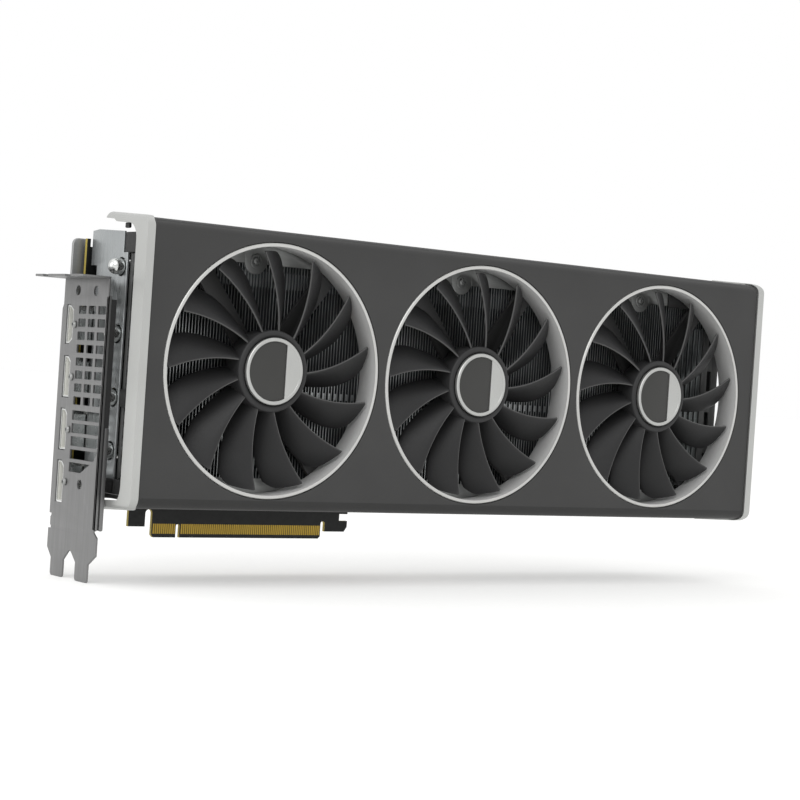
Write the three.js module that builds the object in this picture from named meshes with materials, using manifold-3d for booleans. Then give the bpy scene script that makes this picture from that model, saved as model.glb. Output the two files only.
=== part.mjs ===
// A three-fan graphics card, standing upright on its edge connector. Millimetres, +Z up.
// X runs along the card from the slot bracket, Y from the fan side to the backplate.
// Pieces are laid out in panel coordinates: x = 0 is the left end of the dark front panel,
// y = 0 its front face and z = 0 its lower edge. ORIGIN moves the whole card so that the
// origin is the middle of the edge connector's lower face.
import * as THREE from 'three';
import { mergeVertices } from 'three/addons/utils/BufferGeometryUtils.js';
import Module from 'manifold-3d';

const wasm = await Module();
wasm.setup();

const GAP = 0.3;
// How far a cutting tool runs past the face that it cuts.
const OVERCUT = 1;

const PANEL = {
  length: 331.9, height: 112.7, thickness: 2, wall: 1.8, wallDepth: 22, corner: 1.8, cornerSteps: 3,
  upperRoll: { depth: 5.6, height: 4 }, lowerRoll: { depth: 4.7, height: 4.4 }, rollSteps: 4,
};
const FAN = { count: 3, firstX: 58.8, pitch: 106.7, z: PANEL.height / 2 };
// Radii and depths of the turned parts are measured from each fan's axis and the panel's face.
const RING = { outer: 51.3, inner: 49.8, front: 0, back: 11.7, sides: 48 };
const ROTOR = {
  blades: 13, root: 15.9, tip: 48.3, leadY: 1.9, trailY: 10.6, thickness: 1.3,
  firstAngles: [-6.4, -8.9, -8.4], sweepPerMm: 0.457, chord: 17.3, tipChord: 15, taperFrom: 38,
  camber: 1.15, edgeThinning: 0.5, radialSteps: 4, chordSteps: 2,
};
const CUP = { outer: 16.5, inner: 15.2, front: 1.6, crown: 3.2, back: 11.2, edge: 0.6, sides: 39 };
const BADGE = { outer: 13.5, inner: 12, front: -0.2, back: 1.3, faceFront: 0.3, chord: 5.3, sides: 32 };
const FRAME = {
  front: 12, back: 14, disc: 14.5, post: 4, postFront: 4.6, armWidth: 8, armReach: 51,
  armAngles: [52, 127, 232, 308], sides: 28,
};
const STATOR = {
  outer: 13.2, inner: 4.6, front: 4.4, back: 11.4, slot: 1.2, slotAngles: [0, 60, 120], sides: 28,
};

const TRIM = {
  width: 3.7, right: 4, front: -0.6, stripDepth: 8, top: 113, bottom: -0.3, armEnd: 32.6,
  armThickness: 2.6, thickArm: 3.6, thickArmEnd: 24.4, lowerArm: 3.6, flare: 2.2,
  upperCorner: 6, lowerCorner: { depth: 3, height: 6 }, corner: 2.4, wrap: 1, cornerSteps: 5,
};
const RAIL = {
  front: 14.4, back: 15.9, start: 6, end: 318, upperBottom: 99.3, upperTop: 110.4,
  lowerBottom: 2.3, lowerTop: 12.4,
};
const TAB = { offset: -3, z: 100.4, radius: 5.4, hole: 1.3, steps: 14 };

const FIN = { pitch: 2.9, thickness: 0.5, bottom: 8, top: 104, spine: 0.6 };
const FRONT_FINS = { start: 4, end: 318, front: 16.3, back: 22.4 };
const LEFT_FINS = { start: 4, end: 91, front: 29.6, back: 45.6 };
const RIGHT_FINS = { start: 169, end: 267, front: 29.6, back: 41.8 };
const FLOW_FINS = { start: 271, end: 318, front: 29.6, back: 53.4 };
const PIPE = {
  radius: 3.2, y: 26, start: -5, end: 316, heights: [21, 42, 67, 93.5], innerHeights: [38, 49, 60, 71],
  bendStart: 78, bendEnd: 98, returnStart: 162, returnEnd: 182, sides: 8, steps: 20,
};
const END_PLATE = {
  left: 0.6, thickness: 1, front: 21.5, upperFront: 25, frontStep: 99.2, back: 46, upperBack: 50.7,
  backStep: 94, bottom: 8, frontTop: 107.6, top: 108.6, slopeDepth: 5, slopeHeight: 0.6,
};
const END_WALL = {
  left: 321.4, thickness: 1.2, front: 16.5, back: 50, bottom: 8, top: 105,
  windows: 5, windowHeight: 12, windowPitch: 18.5, firstWindow: 13, windowFront: 20, windowBack: 46,
};
const COLD_PLATE = { left: 96, right: 164, front: 29.6, back: 49.5, bottom: 22, top: 90, chamfer: 2 };

const BOARD = {
  front: 52.25, back: 53.85, left: -0.9, right: 268, top: 101.6, bottom: 3, tabRight: 0.7, tabTop: 104.8,
};
const EDGE = {
  left: 37.4, right: 122.6, bottom: -15.64, keyLeft: 49.05, keyWidth: 1.9, keyTop: -9.95,
  slotWidth: 2.2, slotTop: -8, chamfer: 1, tabLeft: 26.2, tabRight: 34.1, tabBottom: -11.2,
  tabGapTop: -4, hookRight: 136.8, hookBottom: -12.5, hookTop: -7.7, hookNeck: 132.4,
  hookNeckTop: -4.7, hookCutHeight: 2.1, hookCutWidth: 1.5, arcSteps: 5,
};
const CONTACT = { bottom: -13.9, top: -9.9, thickness: 0.12, gap: 0.06, margin: 0.35 };

const CHIP = { left: 110, right: 150, bottom: 36, top: 76, thickness: 1, corner: 1.2 };
const DIE = { left: 119, right: 141, bottom: 45, top: 67, thickness: 0.7 };
const MEMORY = {
  columns: [93.5, 155], width: 11.5, heights: [33, 64], height: 14, thickness: 1.1,
};
const CHOKE = { columns: [74, 178], heights: [51], size: 9.5, thickness: 4.6, corner: 1.2 };

const BACKPLATE = {
  front: 55.6, back: 57.1, left: -5.3, bottom: 0, top: 101.6, tabRight: 0.7, tabTop: 104.8, corner: 2.4,
  vents: 5, ventWidth: 5.4, ventPitch: 9.2, firstVent: 276, ventBottom: 16, ventTop: 96, ventCorner: 2,
  cornerSteps: 3,
};
const CLAMP = {
  centreX: 130, centreZ: 56, reach: 31, arm: 7, front: 54.15, back: 54.8, window: 38, hub: 10,
  sides: 16,
};

const BRACKET = {
  left: -8.2, thickness: 0.86, top: 88.9, upperFront: 18.9, upperBack: 54.9, stepZ: 78, stepBack: 55.9,
  stepSlope: 2, lowerFront: 16.2, lowerBack: 56.2, shoulderZ: -19.8, neckZ: -23.7,
  tongueBottom: -30.9, tongueCorner: 1.4, tongues: [[22, 32], [42.3, 52.5]], apexZ: -19.5,
  frontStepTop: -10.8, frontStepBottom: -12.8, backNotchTop: -6.2, backNotchBottom: -12.2, backNotchY: 53.8,
};
const TONGUE_TAB = {
  reach: 12.8, front: 18.9, back: 57.2, slotWidth: 4.4, slotDepth: 5.2, slots: [28.9, 47.5],
};
const FLANGE = { front: 18.9, reach: 4.2, thickness: 0.86, bottom: -10.3, top: 81.5 };
const VENT = {
  columns: [[20.1, 26.4], [28.2, 34.1], [35.9, 42.1]], topZ: 77.3, holeHeight: 3.2, pitch: 5.15,
  rows: 8, slots: 6, slotTop: 35.7, slotHeight: 3.7, cutFront: 20.1, cutFrontZ: 17.9, cutBack: 42.1,
  cutBackZ: 6.4, wedge: 30,
};
const BRACKET_HOLES = { radius: 1.95, places: [[43.5, 83.4], [28.9, 83.3], [32.6, 6.9]], sides: 16 };
const PORT = {
  centreY: 49.2, depth: 16, shell: 0.5, back: 1, recess: 0.3,
  displayHeight: 16.2, displayWidth: 5.1, displayCut: 2, displayZ: [48.9, 27.9, 7.1],
  hdmiHeight: 15.2, hdmiWidth: 5.3, hdmiCut: 1.7, hdmiZ: 69.8, clearance: 0.3,
};
const JACK_SCREW = {
  y: 44.4, heights: [69.8, 48.9, 27.9, 7.1], radius: 1.5, head: 0.9, socket: 0.7, sides: 14,
  socketSides: 6,
};

const SOCKET = {
  places: [210, 234], width: 19.4, front: 43.4, back: 51.8, bottom: 88, top: 103.4, cell: 3.5,
  cellPitch: 4.2, rowPitch: 4, cellDepth: 11, rows: 2, columns: 4, latch: 1.2, latchWidth: 6,
  latchHeight: 3,
};
const SWITCH = {
  x: 24, y: 49.9, z: 104.9, length: 9, width: 3.6, height: 4.2, slotLength: 5.2, slotWidth: 1.7,
  slotDepth: 2.6, knob: 2.4, knobWidth: 1.1, knobHeight: 2.9, travel: 1.1,
};

const ORIGIN = new THREE.Vector3(
  (EDGE.left + EDGE.right) / 2,
  (BOARD.front + BOARD.back) / 2,
  EDGE.bottom,
);

// ---------- materials ----------

function finish(color, roughness, metalness) {
  return () => new THREE.MeshStandardMaterial({ color, roughness, metalness });
}
const darkPanel = finish(0x4b4b4a, 0.5, 0.3);
const silverTrim = finish(0xcfd0cc, 0.35, 0.75);
const paleRing = finish(0xcfcfcd, 0.4, 0.5);
const bladePlastic = finish(0x383838, 0.45, 0);
const badgeDark = finish(0x4c4c4a, 0.45, 0.3);
const blackPlastic = finish(0x1c1c1c, 0.55, 0);
const copper = finish(0xb56a3a, 0.3, 1);
const nickel = finish(0xb9bdbe, 0.22, 1);
const darkFin = finish(0x565b5c, 0.35, 0.9);
const greyPlate = finish(0x9a9d9e, 0.4, 0.8);
const bracketSteel = finish(0x949494, 0.4, 0.85);
const boardBlack = finish(0x202120, 0.45, 0);
const gold = finish(0xb08a2c, 0.3, 1);
const chipBlack = finish(0x17181a, 0.4, 0);
const chokeGrey = finish(0x55575a, 0.6, 0.4);
const backplateMetal = finish(0x8e8f90, 0.4, 0.8);

// ---------- solids ----------

function toSolid(geometry) {
  const bare = geometry.clone();
  bare.deleteAttribute('normal');
  bare.deleteAttribute('uv');
  const merged = mergeVertices(bare, 1e-4);
  return new wasm.Manifold(new wasm.Mesh({
    numProp: 3,
    vertProperties: new Float32Array(merged.attributes.position.array),
    triVerts: new Uint32Array(merged.index.array),
  }));
}

function toGeometry(solid) {
  const mesh = solid.getMesh();
  const geometry = new THREE.BufferGeometry();
  geometry.setAttribute('position', new THREE.BufferAttribute(mesh.vertProperties, 3));
  geometry.setIndex(new THREE.BufferAttribute(mesh.triVerts, 1));
  geometry.computeVertexNormals();
  return geometry;
}

function cut(geometry, tools) {
  return toGeometry(tools.reduce((solid, tool) => solid.subtract(toSolid(tool)), toSolid(geometry)));
}

function join(geometries) {
  return toGeometry(geometries.map(toSolid).reduce((solid, next) => solid.add(next)));
}

function common(geometry, other) {
  return toGeometry(toSolid(geometry).intersect(toSolid(other)));
}

function block(x0, x1, y0, y1, z0, z1) {
  const box = new THREE.BoxGeometry(x1 - x0, y1 - y0, z1 - z0);
  return box.translate((x0 + x1) / 2, (y0 + y1) / 2, (z0 + z1) / 2);
}

const AXIS_X = new THREE.Vector3(1, 0, 0);
const AXIS_Y = new THREE.Vector3(0, 1, 0);
const AXIS_Z = new THREE.Vector3(0, 0, 1);
const FRONT_VIEW = new THREE.Matrix4().makeBasis(AXIS_X, AXIS_Z, AXIS_Y.clone().negate());
const SIDE_VIEW = new THREE.Matrix4().makeBasis(AXIS_Y, AXIS_Z, AXIS_X);

// A shape drawn in x and z, filling y0 to y1.
function slabXZ(shape, y0, y1) {
  const slab = new THREE.ExtrudeGeometry(shape, { depth: y1 - y0, bevelEnabled: false });
  return slab.applyMatrix4(FRONT_VIEW).translate(0, y1, 0);
}

// A shape drawn in y and z, filling x0 to x1.
function slabYZ(shape, x0, x1) {
  const slab = new THREE.ExtrudeGeometry(shape, { depth: x1 - x0, bevelEnabled: false });
  return slab.applyMatrix4(SIDE_VIEW).translate(x0, 0, 0);
}

// A shape drawn in x and y, filling z0 to z1.
function slabXY(shape, z0, z1) {
  return new THREE.ExtrudeGeometry(shape, { depth: z1 - z0, bevelEnabled: false }).translate(0, 0, z0);
}

function outline(points) {
  return new THREE.Shape(points.map(([u, v]) => new THREE.Vector2(u, v)));
}

// Points along an arc about (u, v), angles in degrees, ends included. A second radius, along v,
// makes it a stretch of an ellipse.
function arc(u, v, radius, from, to, steps, radiusV = radius) {
  return Array.from({ length: steps + 1 }, (_, i) => {
    const angle = THREE.MathUtils.degToRad(from + (to - from) * i / steps);
    return [u + radius * Math.cos(angle), v + radiusV * Math.sin(angle)];
  });
}

function roundedRectangle(u0, u1, v0, v1, radius, steps) {
  return outline([
    ...arc(u0 + radius, v0 + radius, radius, 180, 270, steps),
    ...arc(u1 - radius, v0 + radius, radius, 270, 360, steps),
    ...arc(u1 - radius, v1 - radius, radius, 0, 90, steps),
    ...arc(u0 + radius, v1 - radius, radius, 90, 180, steps),
  ]);
}

function chamferedRectangle(u0, u1, v0, v1, chamfer) {
  return outline([
    [u0 + chamfer, v0], [u1 - chamfer, v0], [u1, v0 + chamfer], [u1, v1 - chamfer],
    [u1 - chamfer, v1], [u0 + chamfer, v1], [u0, v1 - chamfer], [u0, v0 + chamfer],
  ]);
}

// A solid of revolution about the Y axis. The profile lists [radius, y].
function turned(profile, sides) {
  return new THREE.LatheGeometry(profile.map(([r, y]) => new THREE.Vector2(r, y)), sides);
}

function rod(x, z, radius, y0, y1, sides) {
  const cylinder = new THREE.CylinderGeometry(radius, radius, y1 - y0, sides);
  return cylinder.translate(x, (y0 + y1) / 2, z);
}

// A rod along X for holes in the bracket and the end plates.
function crossRod(y, z, radius, x0, x1, sides) {
  const cylinder = new THREE.CylinderGeometry(radius, radius, x1 - x0, sides);
  return cylinder.rotateZ(-Math.PI / 2).translate((x0 + x1) / 2, y, z);
}

const card = new THREE.Group();
card.name = 'graphics_card';
card.position.copy(ORIGIN).negate();

function add(name, geometry, material, parent = card) {
  const mesh = new THREE.Mesh(geometry, material());
  mesh.name = name;
  parent.add(mesh);
  return mesh;
}

const fanX = (index) => FAN.firstX + index * FAN.pitch;

// ---------- shroud and trim ----------

// The quarter ellipse that turns the panel's face into its upper wall, from the wall to the face.
// It can lie outside the panel's own surface by a depth and a height, or inside it if negative.
function upperRoll(outDepth, outHeight) {
  const { depth, height } = PANEL.upperRoll;
  const z = PANEL.height - height;
  return arc(depth, z, depth + outDepth, 90, 180, PANEL.rollSteps, height + outHeight);
}

// The same at the lower edge, from the face to the wall.
function lowerRoll(outDepth, outHeight) {
  const { depth, height } = PANEL.lowerRoll;
  return arc(depth, height, depth + outDepth, 180, 270, PANEL.rollSteps, height + outHeight);
}

// The dark front panel with its upper and lower walls and three round openings.
function frontShroud() {
  const { length, height, thickness, wall, wallDepth } = PANEL;
  const section = outline([
    [wallDepth, 0], [wallDepth, wall], ...lowerRoll(-thickness, -wall).reverse(),
    ...upperRoll(-thickness, -wall).reverse(), [wallDepth, height - wall], [wallDepth, height],
    ...upperRoll(0, 0), ...lowerRoll(0, 0),
  ]);
  const holes = Array.from({ length: FAN.count }, (_, i) =>
    rod(fanX(i), FAN.z, RING.outer + GAP, -OVERCUT, wallDepth, RING.sides));
  const face = slabXZ(panelFace(0), -OVERCUT, wallDepth + OVERCUT);
  return cut(common(slabYZ(section, 0, length), face), holes);
}

// The rounded front outline of the dark panel, grown by a margin.
function panelFace(margin) {
  return roundedRectangle(-margin, PANEL.length + margin, -margin, PANEL.height + margin,
    PANEL.corner + margin, PANEL.cornerSteps);
}

// A silver end frame: a front strip that wraps the panel's two corners and rolls back, as the
// panel does, into an arm over the top and one under the bottom. The arms flare apart towards
// the back.
function endFrame(x0, x1, outerSide) {
  const { front, armEnd, top, bottom, stripDepth, armThickness, wrap } = TRIM;
  const { upperCorner, lowerCorner } = TRIM;
  const upperInside = top - TRIM.thickArm;
  const lowerInside = bottom + TRIM.lowerArm;
  const section = outline([
    [armEnd, bottom], [armEnd, lowerInside],
    ...arc(stripDepth + lowerCorner.depth, lowerInside + lowerCorner.height, lowerCorner.depth,
      270, 180, TRIM.cornerSteps, lowerCorner.height),
    ...arc(stripDepth + upperCorner, upperInside - upperCorner, upperCorner, 180, 90,
      TRIM.cornerSteps),
    [TRIM.thickArmEnd, upperInside], [TRIM.thickArmEnd + armThickness, top - armThickness],
    [armEnd, top - armThickness], [armEnd, top],
    ...upperRoll(-front, top - PANEL.height), ...lowerRoll(-front, -bottom),
  ]);
  const [u0, u1] = outerSide < 0 ? [x0, x1 + wrap] : [x0 - wrap, x1];
  const reach = TRIM.corner * 2;
  const [f0, f1] = outerSide < 0 ? [x0, x1 + reach] : [x0 - reach, x1];
  const face = slabXZ(roundedRectangle(f0, f1, bottom, top, TRIM.corner, TRIM.cornerSteps),
    front - OVERCUT, armEnd + OVERCUT);
  const panel = slabXZ(panelFace(GAP), front - OVERCUT, armEnd + OVERCUT);
  const strip = common(slabYZ(section, u0, u1), block(u0, u1, front - OVERCUT, stripDepth, bottom, top));
  return flare(cut(common(join([slabYZ(section, x0, x1), strip]), face), [panel]));
}

// Spreads a frame's arms: heights grow from the panel's middle in step with the depth.
function flare(geometry) {
  const position = geometry.attributes.position;
  const middle = PANEL.height / 2;
  const perMm = TRIM.flare / (TRIM.top - middle) / (TRIM.armEnd - TRIM.front);
  for (let i = 0; i < position.count; i += 1) {
    const growth = 1 + perMm * (position.getY(i) - TRIM.front);
    position.setZ(i, middle + (position.getZ(i) - middle) * growth);
  }
  return geometry;
}

// One light strip in front of the fins. Screw tabs hang from the upper one, one for each fan.
function rail(bottom, top, tabs) {
  const strip = block(RAIL.start, RAIL.end, RAIL.front, RAIL.back, bottom, top);
  if (!tabs) return strip;
  const pieces = [strip];
  const holes = [];
  for (let i = 0; i < FAN.count; i += 1) {
    const x = fanX(i) + TAB.offset;
    const tab = outline([
      [x - TAB.radius, bottom + TAB.radius], ...arc(x, TAB.z, TAB.radius, 180, 360, TAB.steps),
      [x + TAB.radius, bottom + TAB.radius],
    ]);
    pieces.push(slabXZ(tab, RAIL.front, RAIL.back));
    holes.push(rod(x, TAB.z, TAB.hole, RAIL.front - OVERCUT, RAIL.back + OVERCUT, TAB.steps));
  }
  return cut(join(pieces), holes);
}

// ---------- fans ----------

// The pale ring and duct wall around one fan.
function fanRing() {
  const { outer, inner, front, back, sides } = RING;
  return turned([
    [inner, back], [inner, front], [outer, front], [outer, back], [inner, back],
  ], sides);
}

// One sickle blade: a box grid bent into a swept, pitched and cambered sheet.
function blade(index, firstAngle) {
  const { root, tip, leadY, trailY, thickness, chord, tipChord, taperFrom } = ROTOR;
  const grid = new THREE.BoxGeometry(1, 1, 1, ROTOR.radialSteps, 1, ROTOR.chordSteps);
  const position = grid.attributes.position;
  const toRadians = THREE.MathUtils.degToRad;
  for (let i = 0; i < position.count; i += 1) {
    const along = position.getX(i) + 0.5;
    const side = position.getY(i) * 2;
    const across = 0.5 - position.getZ(i);
    const radius = root + (tip - root) * along;
    const taper = Math.max(0, (radius - taperFrom) / (tip - taperFrom));
    const width = toRadians(chord + (tipChord - chord) * taper);
    const lead = toRadians(firstAngle + ROTOR.sweepPerMm * radius + index * 360 / ROTOR.blades);
    const pitch = Math.atan2(trailY - leadY, radius * width);
    const atEdge = across === 0 || across === 1;
    const half = thickness / 2 * (atEdge ? ROTOR.edgeThinning : 1) * side;
    const angle = lead - width * across + half * Math.sin(pitch) / radius;
    const y = leadY + (trailY - leadY) * across ** ROTOR.camber + half * Math.cos(pitch);
    position.setXYZ(i, radius * Math.cos(angle), y, radius * Math.sin(angle));
  }
  return grid;
}

// The hub cup, open at the back, with its blades. Each fan rests at an angle of its own.
function fanRotor(firstAngle) {
  const { outer, inner, front, crown, back, edge, sides } = CUP;
  const cup = turned([
    [0, front], [outer - edge, front], [outer, front + edge], [outer, back], [inner, back],
    [inner, crown], [0, crown],
  ], sides);
  const blades = Array.from({ length: ROTOR.blades }, (_, i) => blade(i, firstAngle));
  return join([cup, ...blades]);
}

// The silver badge ring, which carries a segment of the same metal on its right side.
function badgeRing() {
  const { outer, inner, front, back, chord, sides } = BADGE;
  const ring = turned([
    [inner, back], [inner, front], [outer, front], [outer, back], [inner, back],
  ], sides);
  const disc = rod(0, 0, inner + (outer - inner) / 2, BADGE.faceFront, back, sides);
  const segment = common(disc, block(chord, outer, front, back, -outer, outer));
  return join([ring, segment]);
}

function badgeFace() {
  const { inner, faceFront, back, chord, sides } = BADGE;
  const disc = rod(0, 0, inner - GAP, faceFront, back, sides);
  return common(disc, block(-inner, chord - GAP, faceFront, back, -inner, inner));
}

// The fixed bearing post and motor plate, held on four arms behind the duct.
function fanFrame() {
  const { front, back, disc, post, postFront, armWidth, armReach, sides } = FRAME;
  const plate = turned([
    [0, postFront], [post, postFront], [post, front], [disc, front], [disc, back], [0, back],
  ], sides);
  const arms = FRAME.armAngles.map((angle) => {
    const arm = block(disc / 2, armReach, front, back, -armWidth / 2, armWidth / 2);
    return arm.rotateY(-THREE.MathUtils.degToRad(angle));
  });
  return join([plate, ...arms]);
}

// The wound stator inside the hub, with its coil slots.
function fanStator() {
  const { outer, inner, front, back, slot, sides } = STATOR;
  const core = turned([
    [inner, back], [inner, front], [outer, front], [outer, back], [inner, back],
  ], sides);
  const across = outer + OVERCUT;
  const slots = STATOR.slotAngles.map((angle) =>
    block(-across, across, front - OVERCUT, front + slot, -slot / 2, slot / 2)
      .rotateY(THREE.MathUtils.degToRad(angle)));
  return cut(core, slots);
}

// ---------- cooler ----------

// Upright fins across the card, joined by a thin spine at the back of the stack.
function finStack({ start, end, front, back }) {
  const { pitch, thickness, spine } = FIN;
  const count = Math.floor((end - start) / pitch) + 1;
  const points = [[start, back]];
  for (let i = 0; i < count; i += 1) {
    const x = start + i * pitch;
    points.push([x, i === 0 ? back : back - spine], [x, front], [x + thickness, front]);
    points.push([x + thickness, i === count - 1 ? back : back - spine]);
  }
  return slabXY(outline(points.slice(1)), FIN.bottom, FIN.top);
}

class PipePath extends THREE.Curve {
  constructor(height, innerHeight) {
    super();
    this.height = height;
    this.innerHeight = innerHeight;
  }

  getPoint(t, target = new THREE.Vector3()) {
    const x = PIPE.start + (PIPE.end - PIPE.start) * t;
    const into = THREE.MathUtils.smoothstep(x, PIPE.bendStart, PIPE.bendEnd);
    const out = THREE.MathUtils.smoothstep(x, PIPE.returnStart, PIPE.returnEnd);
    const z = this.height + (this.innerHeight - this.height) * (into - out);
    return target.set(x, PIPE.y, z);
  }
}

// One heat pipe: it runs the length of the card and bends in to pass over the cold plate.
function heatPipe(height, innerHeight) {
  const section = outline(arc(0, 0, PIPE.radius, 0, 360, PIPE.sides).slice(0, PIPE.sides));
  return new THREE.ExtrudeGeometry(section, {
    extrudePath: new PipePath(height, innerHeight), steps: PIPE.steps, bevelEnabled: false,
  });
}

// The plate that closes the left end of the fins. The heat pipes' rounded ends pass through it.
function endPlate() {
  const { left, thickness, front, upperFront, back, upperBack, bottom, top } = END_PLATE;
  const { frontStep, backStep, frontTop, slopeDepth, slopeHeight } = END_PLATE;
  const face = outline([
    [front, bottom], [back, bottom], [back, backStep], [upperBack, backStep],
    [upperBack, top - slopeHeight], [upperBack - slopeDepth, top], [upperFront, frontTop],
    [upperFront, frontStep], [front, frontStep],
  ]);
  const holes = PIPE.heights.map((z) => crossRod(
    PIPE.y, z, PIPE.radius + GAP * 2, left - OVERCUT, left + thickness + OVERCUT, PIPE.sides * 2));
  return cut(slabYZ(face, left, left + thickness), holes);
}

function endWall() {
  const { left, thickness, front, back, bottom, top } = END_WALL;
  const windows = Array.from({ length: END_WALL.windows }, (_, i) => {
    const z = END_WALL.firstWindow + i * END_WALL.windowPitch;
    const { windowFront, windowBack, windowHeight } = END_WALL;
    const x1 = left + thickness + OVERCUT;
    return block(left - OVERCUT, x1, windowFront, windowBack, z, z + windowHeight);
  });
  return cut(block(left, left + thickness, front, back, bottom, top), windows);
}

function coldPlate() {
  const { left, right, front, back, bottom, top, chamfer } = COLD_PLATE;
  return slabXZ(chamferedRectangle(left, right, bottom, top, chamfer), front, back);
}

// ---------- circuit board ----------

function boardOutline() {
  const keyMiddle = EDGE.keyLeft + EDGE.keyWidth / 2;
  const keyRadius = EDGE.keyWidth / 2;
  const slotMiddle = EDGE.right + EDGE.slotWidth / 2;
  const slotRadius = EDGE.slotWidth / 2;
  const gapMiddle = (EDGE.tabRight + EDGE.left) / 2;
  const gapRadius = (EDGE.left - EDGE.tabRight) / 2;
  return outline([
    [BOARD.left, BOARD.bottom], [EDGE.tabLeft, BOARD.bottom], [EDGE.tabLeft, EDGE.tabBottom],
    [EDGE.tabRight, EDGE.tabBottom],
    ...arc(gapMiddle, EDGE.tabGapTop - gapRadius, gapRadius, 180, 0, EDGE.arcSteps),
    [EDGE.left, EDGE.bottom + EDGE.chamfer], [EDGE.left + EDGE.chamfer, EDGE.bottom],
    [EDGE.keyLeft, EDGE.bottom],
    ...arc(keyMiddle, EDGE.keyTop - keyRadius, keyRadius, 180, 0, EDGE.arcSteps),
    [EDGE.keyLeft + EDGE.keyWidth, EDGE.bottom], [EDGE.right - EDGE.chamfer, EDGE.bottom],
    [EDGE.right, EDGE.bottom + EDGE.chamfer],
    ...arc(slotMiddle, EDGE.slotTop - slotRadius, slotRadius, 180, 0, EDGE.arcSteps),
    [EDGE.right + EDGE.slotWidth, EDGE.hookBottom],
    [EDGE.hookRight - EDGE.hookCutWidth, EDGE.hookBottom],
    [EDGE.hookRight, EDGE.hookBottom + EDGE.hookCutHeight], [EDGE.hookRight, EDGE.hookTop],
    [EDGE.hookNeck, EDGE.hookTop], [EDGE.hookNeck, EDGE.hookNeckTop],
    [EDGE.hookRight, EDGE.hookNeckTop], [EDGE.hookRight, BOARD.bottom],
    [BOARD.right, BOARD.bottom], [BOARD.right, BOARD.top], [BOARD.tabRight, BOARD.top],
    [BOARD.tabRight, BOARD.tabTop], [BOARD.left, BOARD.tabTop],
  ]);
}

function contactStrip(x0, x1) {
  const { bottom, top, thickness, gap, margin } = CONTACT;
  const y0 = BOARD.front - gap - thickness;
  return block(x0 + margin, x1 - margin, y0, y0 + thickness, bottom, top);
}

// A flat block soldered to the cooler side of the board.
function onBoard(shape, thickness) {
  return slabXZ(shape, BOARD.front - GAP - thickness, BOARD.front - GAP);
}

// A power socket: a block on the board's top edge with eight square cells and a latch ledge.
function powerSocket(x) {
  const { width, front, back, bottom, top, cell, cellPitch, rowPitch, cellDepth } = SOCKET;
  const { rows, columns } = SOCKET;
  const middle = (front + back) / 2;
  const cells = [];
  for (let row = 0; row < rows; row += 1) {
    for (let column = 0; column < columns; column += 1) {
      const cx = x + (column - (columns - 1) / 2) * cellPitch;
      const cy = middle + (row - (rows - 1) / 2) * rowPitch;
      cells.push(block(
        cx - cell / 2, cx + cell / 2, cy - cell / 2, cy + cell / 2, top - cellDepth, top + OVERCUT));
    }
  }
  const body = block(x - width / 2, x + width / 2, front, back, bottom, top);
  const ledge = block(x - SOCKET.latchWidth / 2, x + SOCKET.latchWidth / 2, front - SOCKET.latch,
    front + GAP, top - SOCKET.latchHeight * 2, top - SOCKET.latchHeight);
  return cut(join([body, ledge]), cells);
}

// A slide switch on the board's top edge that picks one of two start-up memories.
function switchBody() {
  const { x, y, z, length, width, height, slotLength, slotWidth, slotDepth } = SWITCH;
  const body = block(x - length / 2, x + length / 2, y - width / 2, y + width / 2, z - height, z);
  const slot = block(x - slotLength / 2, x + slotLength / 2, y - slotWidth / 2, y + slotWidth / 2,
    z - slotDepth, z + OVERCUT);
  return cut(body, [slot]);
}

function switchKnob() {
  const { x, y, z, knob, knobWidth, knobHeight, slotDepth, travel } = SWITCH;
  const bottom = z - slotDepth + GAP;
  return block(x - travel - knob / 2, x - travel + knob / 2, y - knobWidth / 2, y + knobWidth / 2,
    bottom, bottom + knobHeight);
}

// ---------- backplate ----------

// The rear plate, with a raised tab at its left end and a group of upright vents past the
// board's right end.
function backplate() {
  const { front, back, left, bottom, top, tabRight, tabTop, corner } = BACKPLATE;
  const { ventWidth, ventPitch, ventBottom, ventTop } = BACKPLATE;
  const plate = outline([
    [left, bottom], [PANEL.length, bottom], [PANEL.length, top], [tabRight, top], [tabRight, tabTop],
    ...arc(left + corner, tabTop - corner, corner, 90, 180, BACKPLATE.cornerSteps),
  ]);
  const openings = Array.from({ length: BACKPLATE.vents }, (_, i) => {
    const x = BACKPLATE.firstVent + i * ventPitch;
    const slot = roundedRectangle(x, x + ventWidth, ventBottom, ventTop, BACKPLATE.ventCorner,
      BACKPLATE.cornerSteps);
    return slabXZ(slot, front - OVERCUT, back + OVERCUT);
  });
  const half = CLAMP.window / 2;
  const { centreX, centreZ } = CLAMP;
  const windowShape = chamferedRectangle(
    centreX - half, centreX + half, centreZ - half, centreZ + half, half / 2);
  const window = slabXZ(windowShape, front - OVERCUT, back + OVERCUT);
  return cut(slabXZ(plate, front, back), [...openings, window]);
}

// The spring cross that presses the cold plate onto the processor from behind the board.
function clampCross() {
  const { centreX, centreZ, reach, arm, front, back, hub } = CLAMP;
  const middle = (front + back) / 2;
  const arms = [45, 135].map((angle) =>
    block(-reach, reach, front, back, -arm / 2, arm / 2).translate(0, -middle, 0)
      .rotateY(THREE.MathUtils.degToRad(angle)).translate(centreX, middle, centreZ));
  return join([...arms, rod(centreX, centreZ, hub, front, back, CLAMP.sides)]);
}

// ---------- slot bracket ----------

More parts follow.
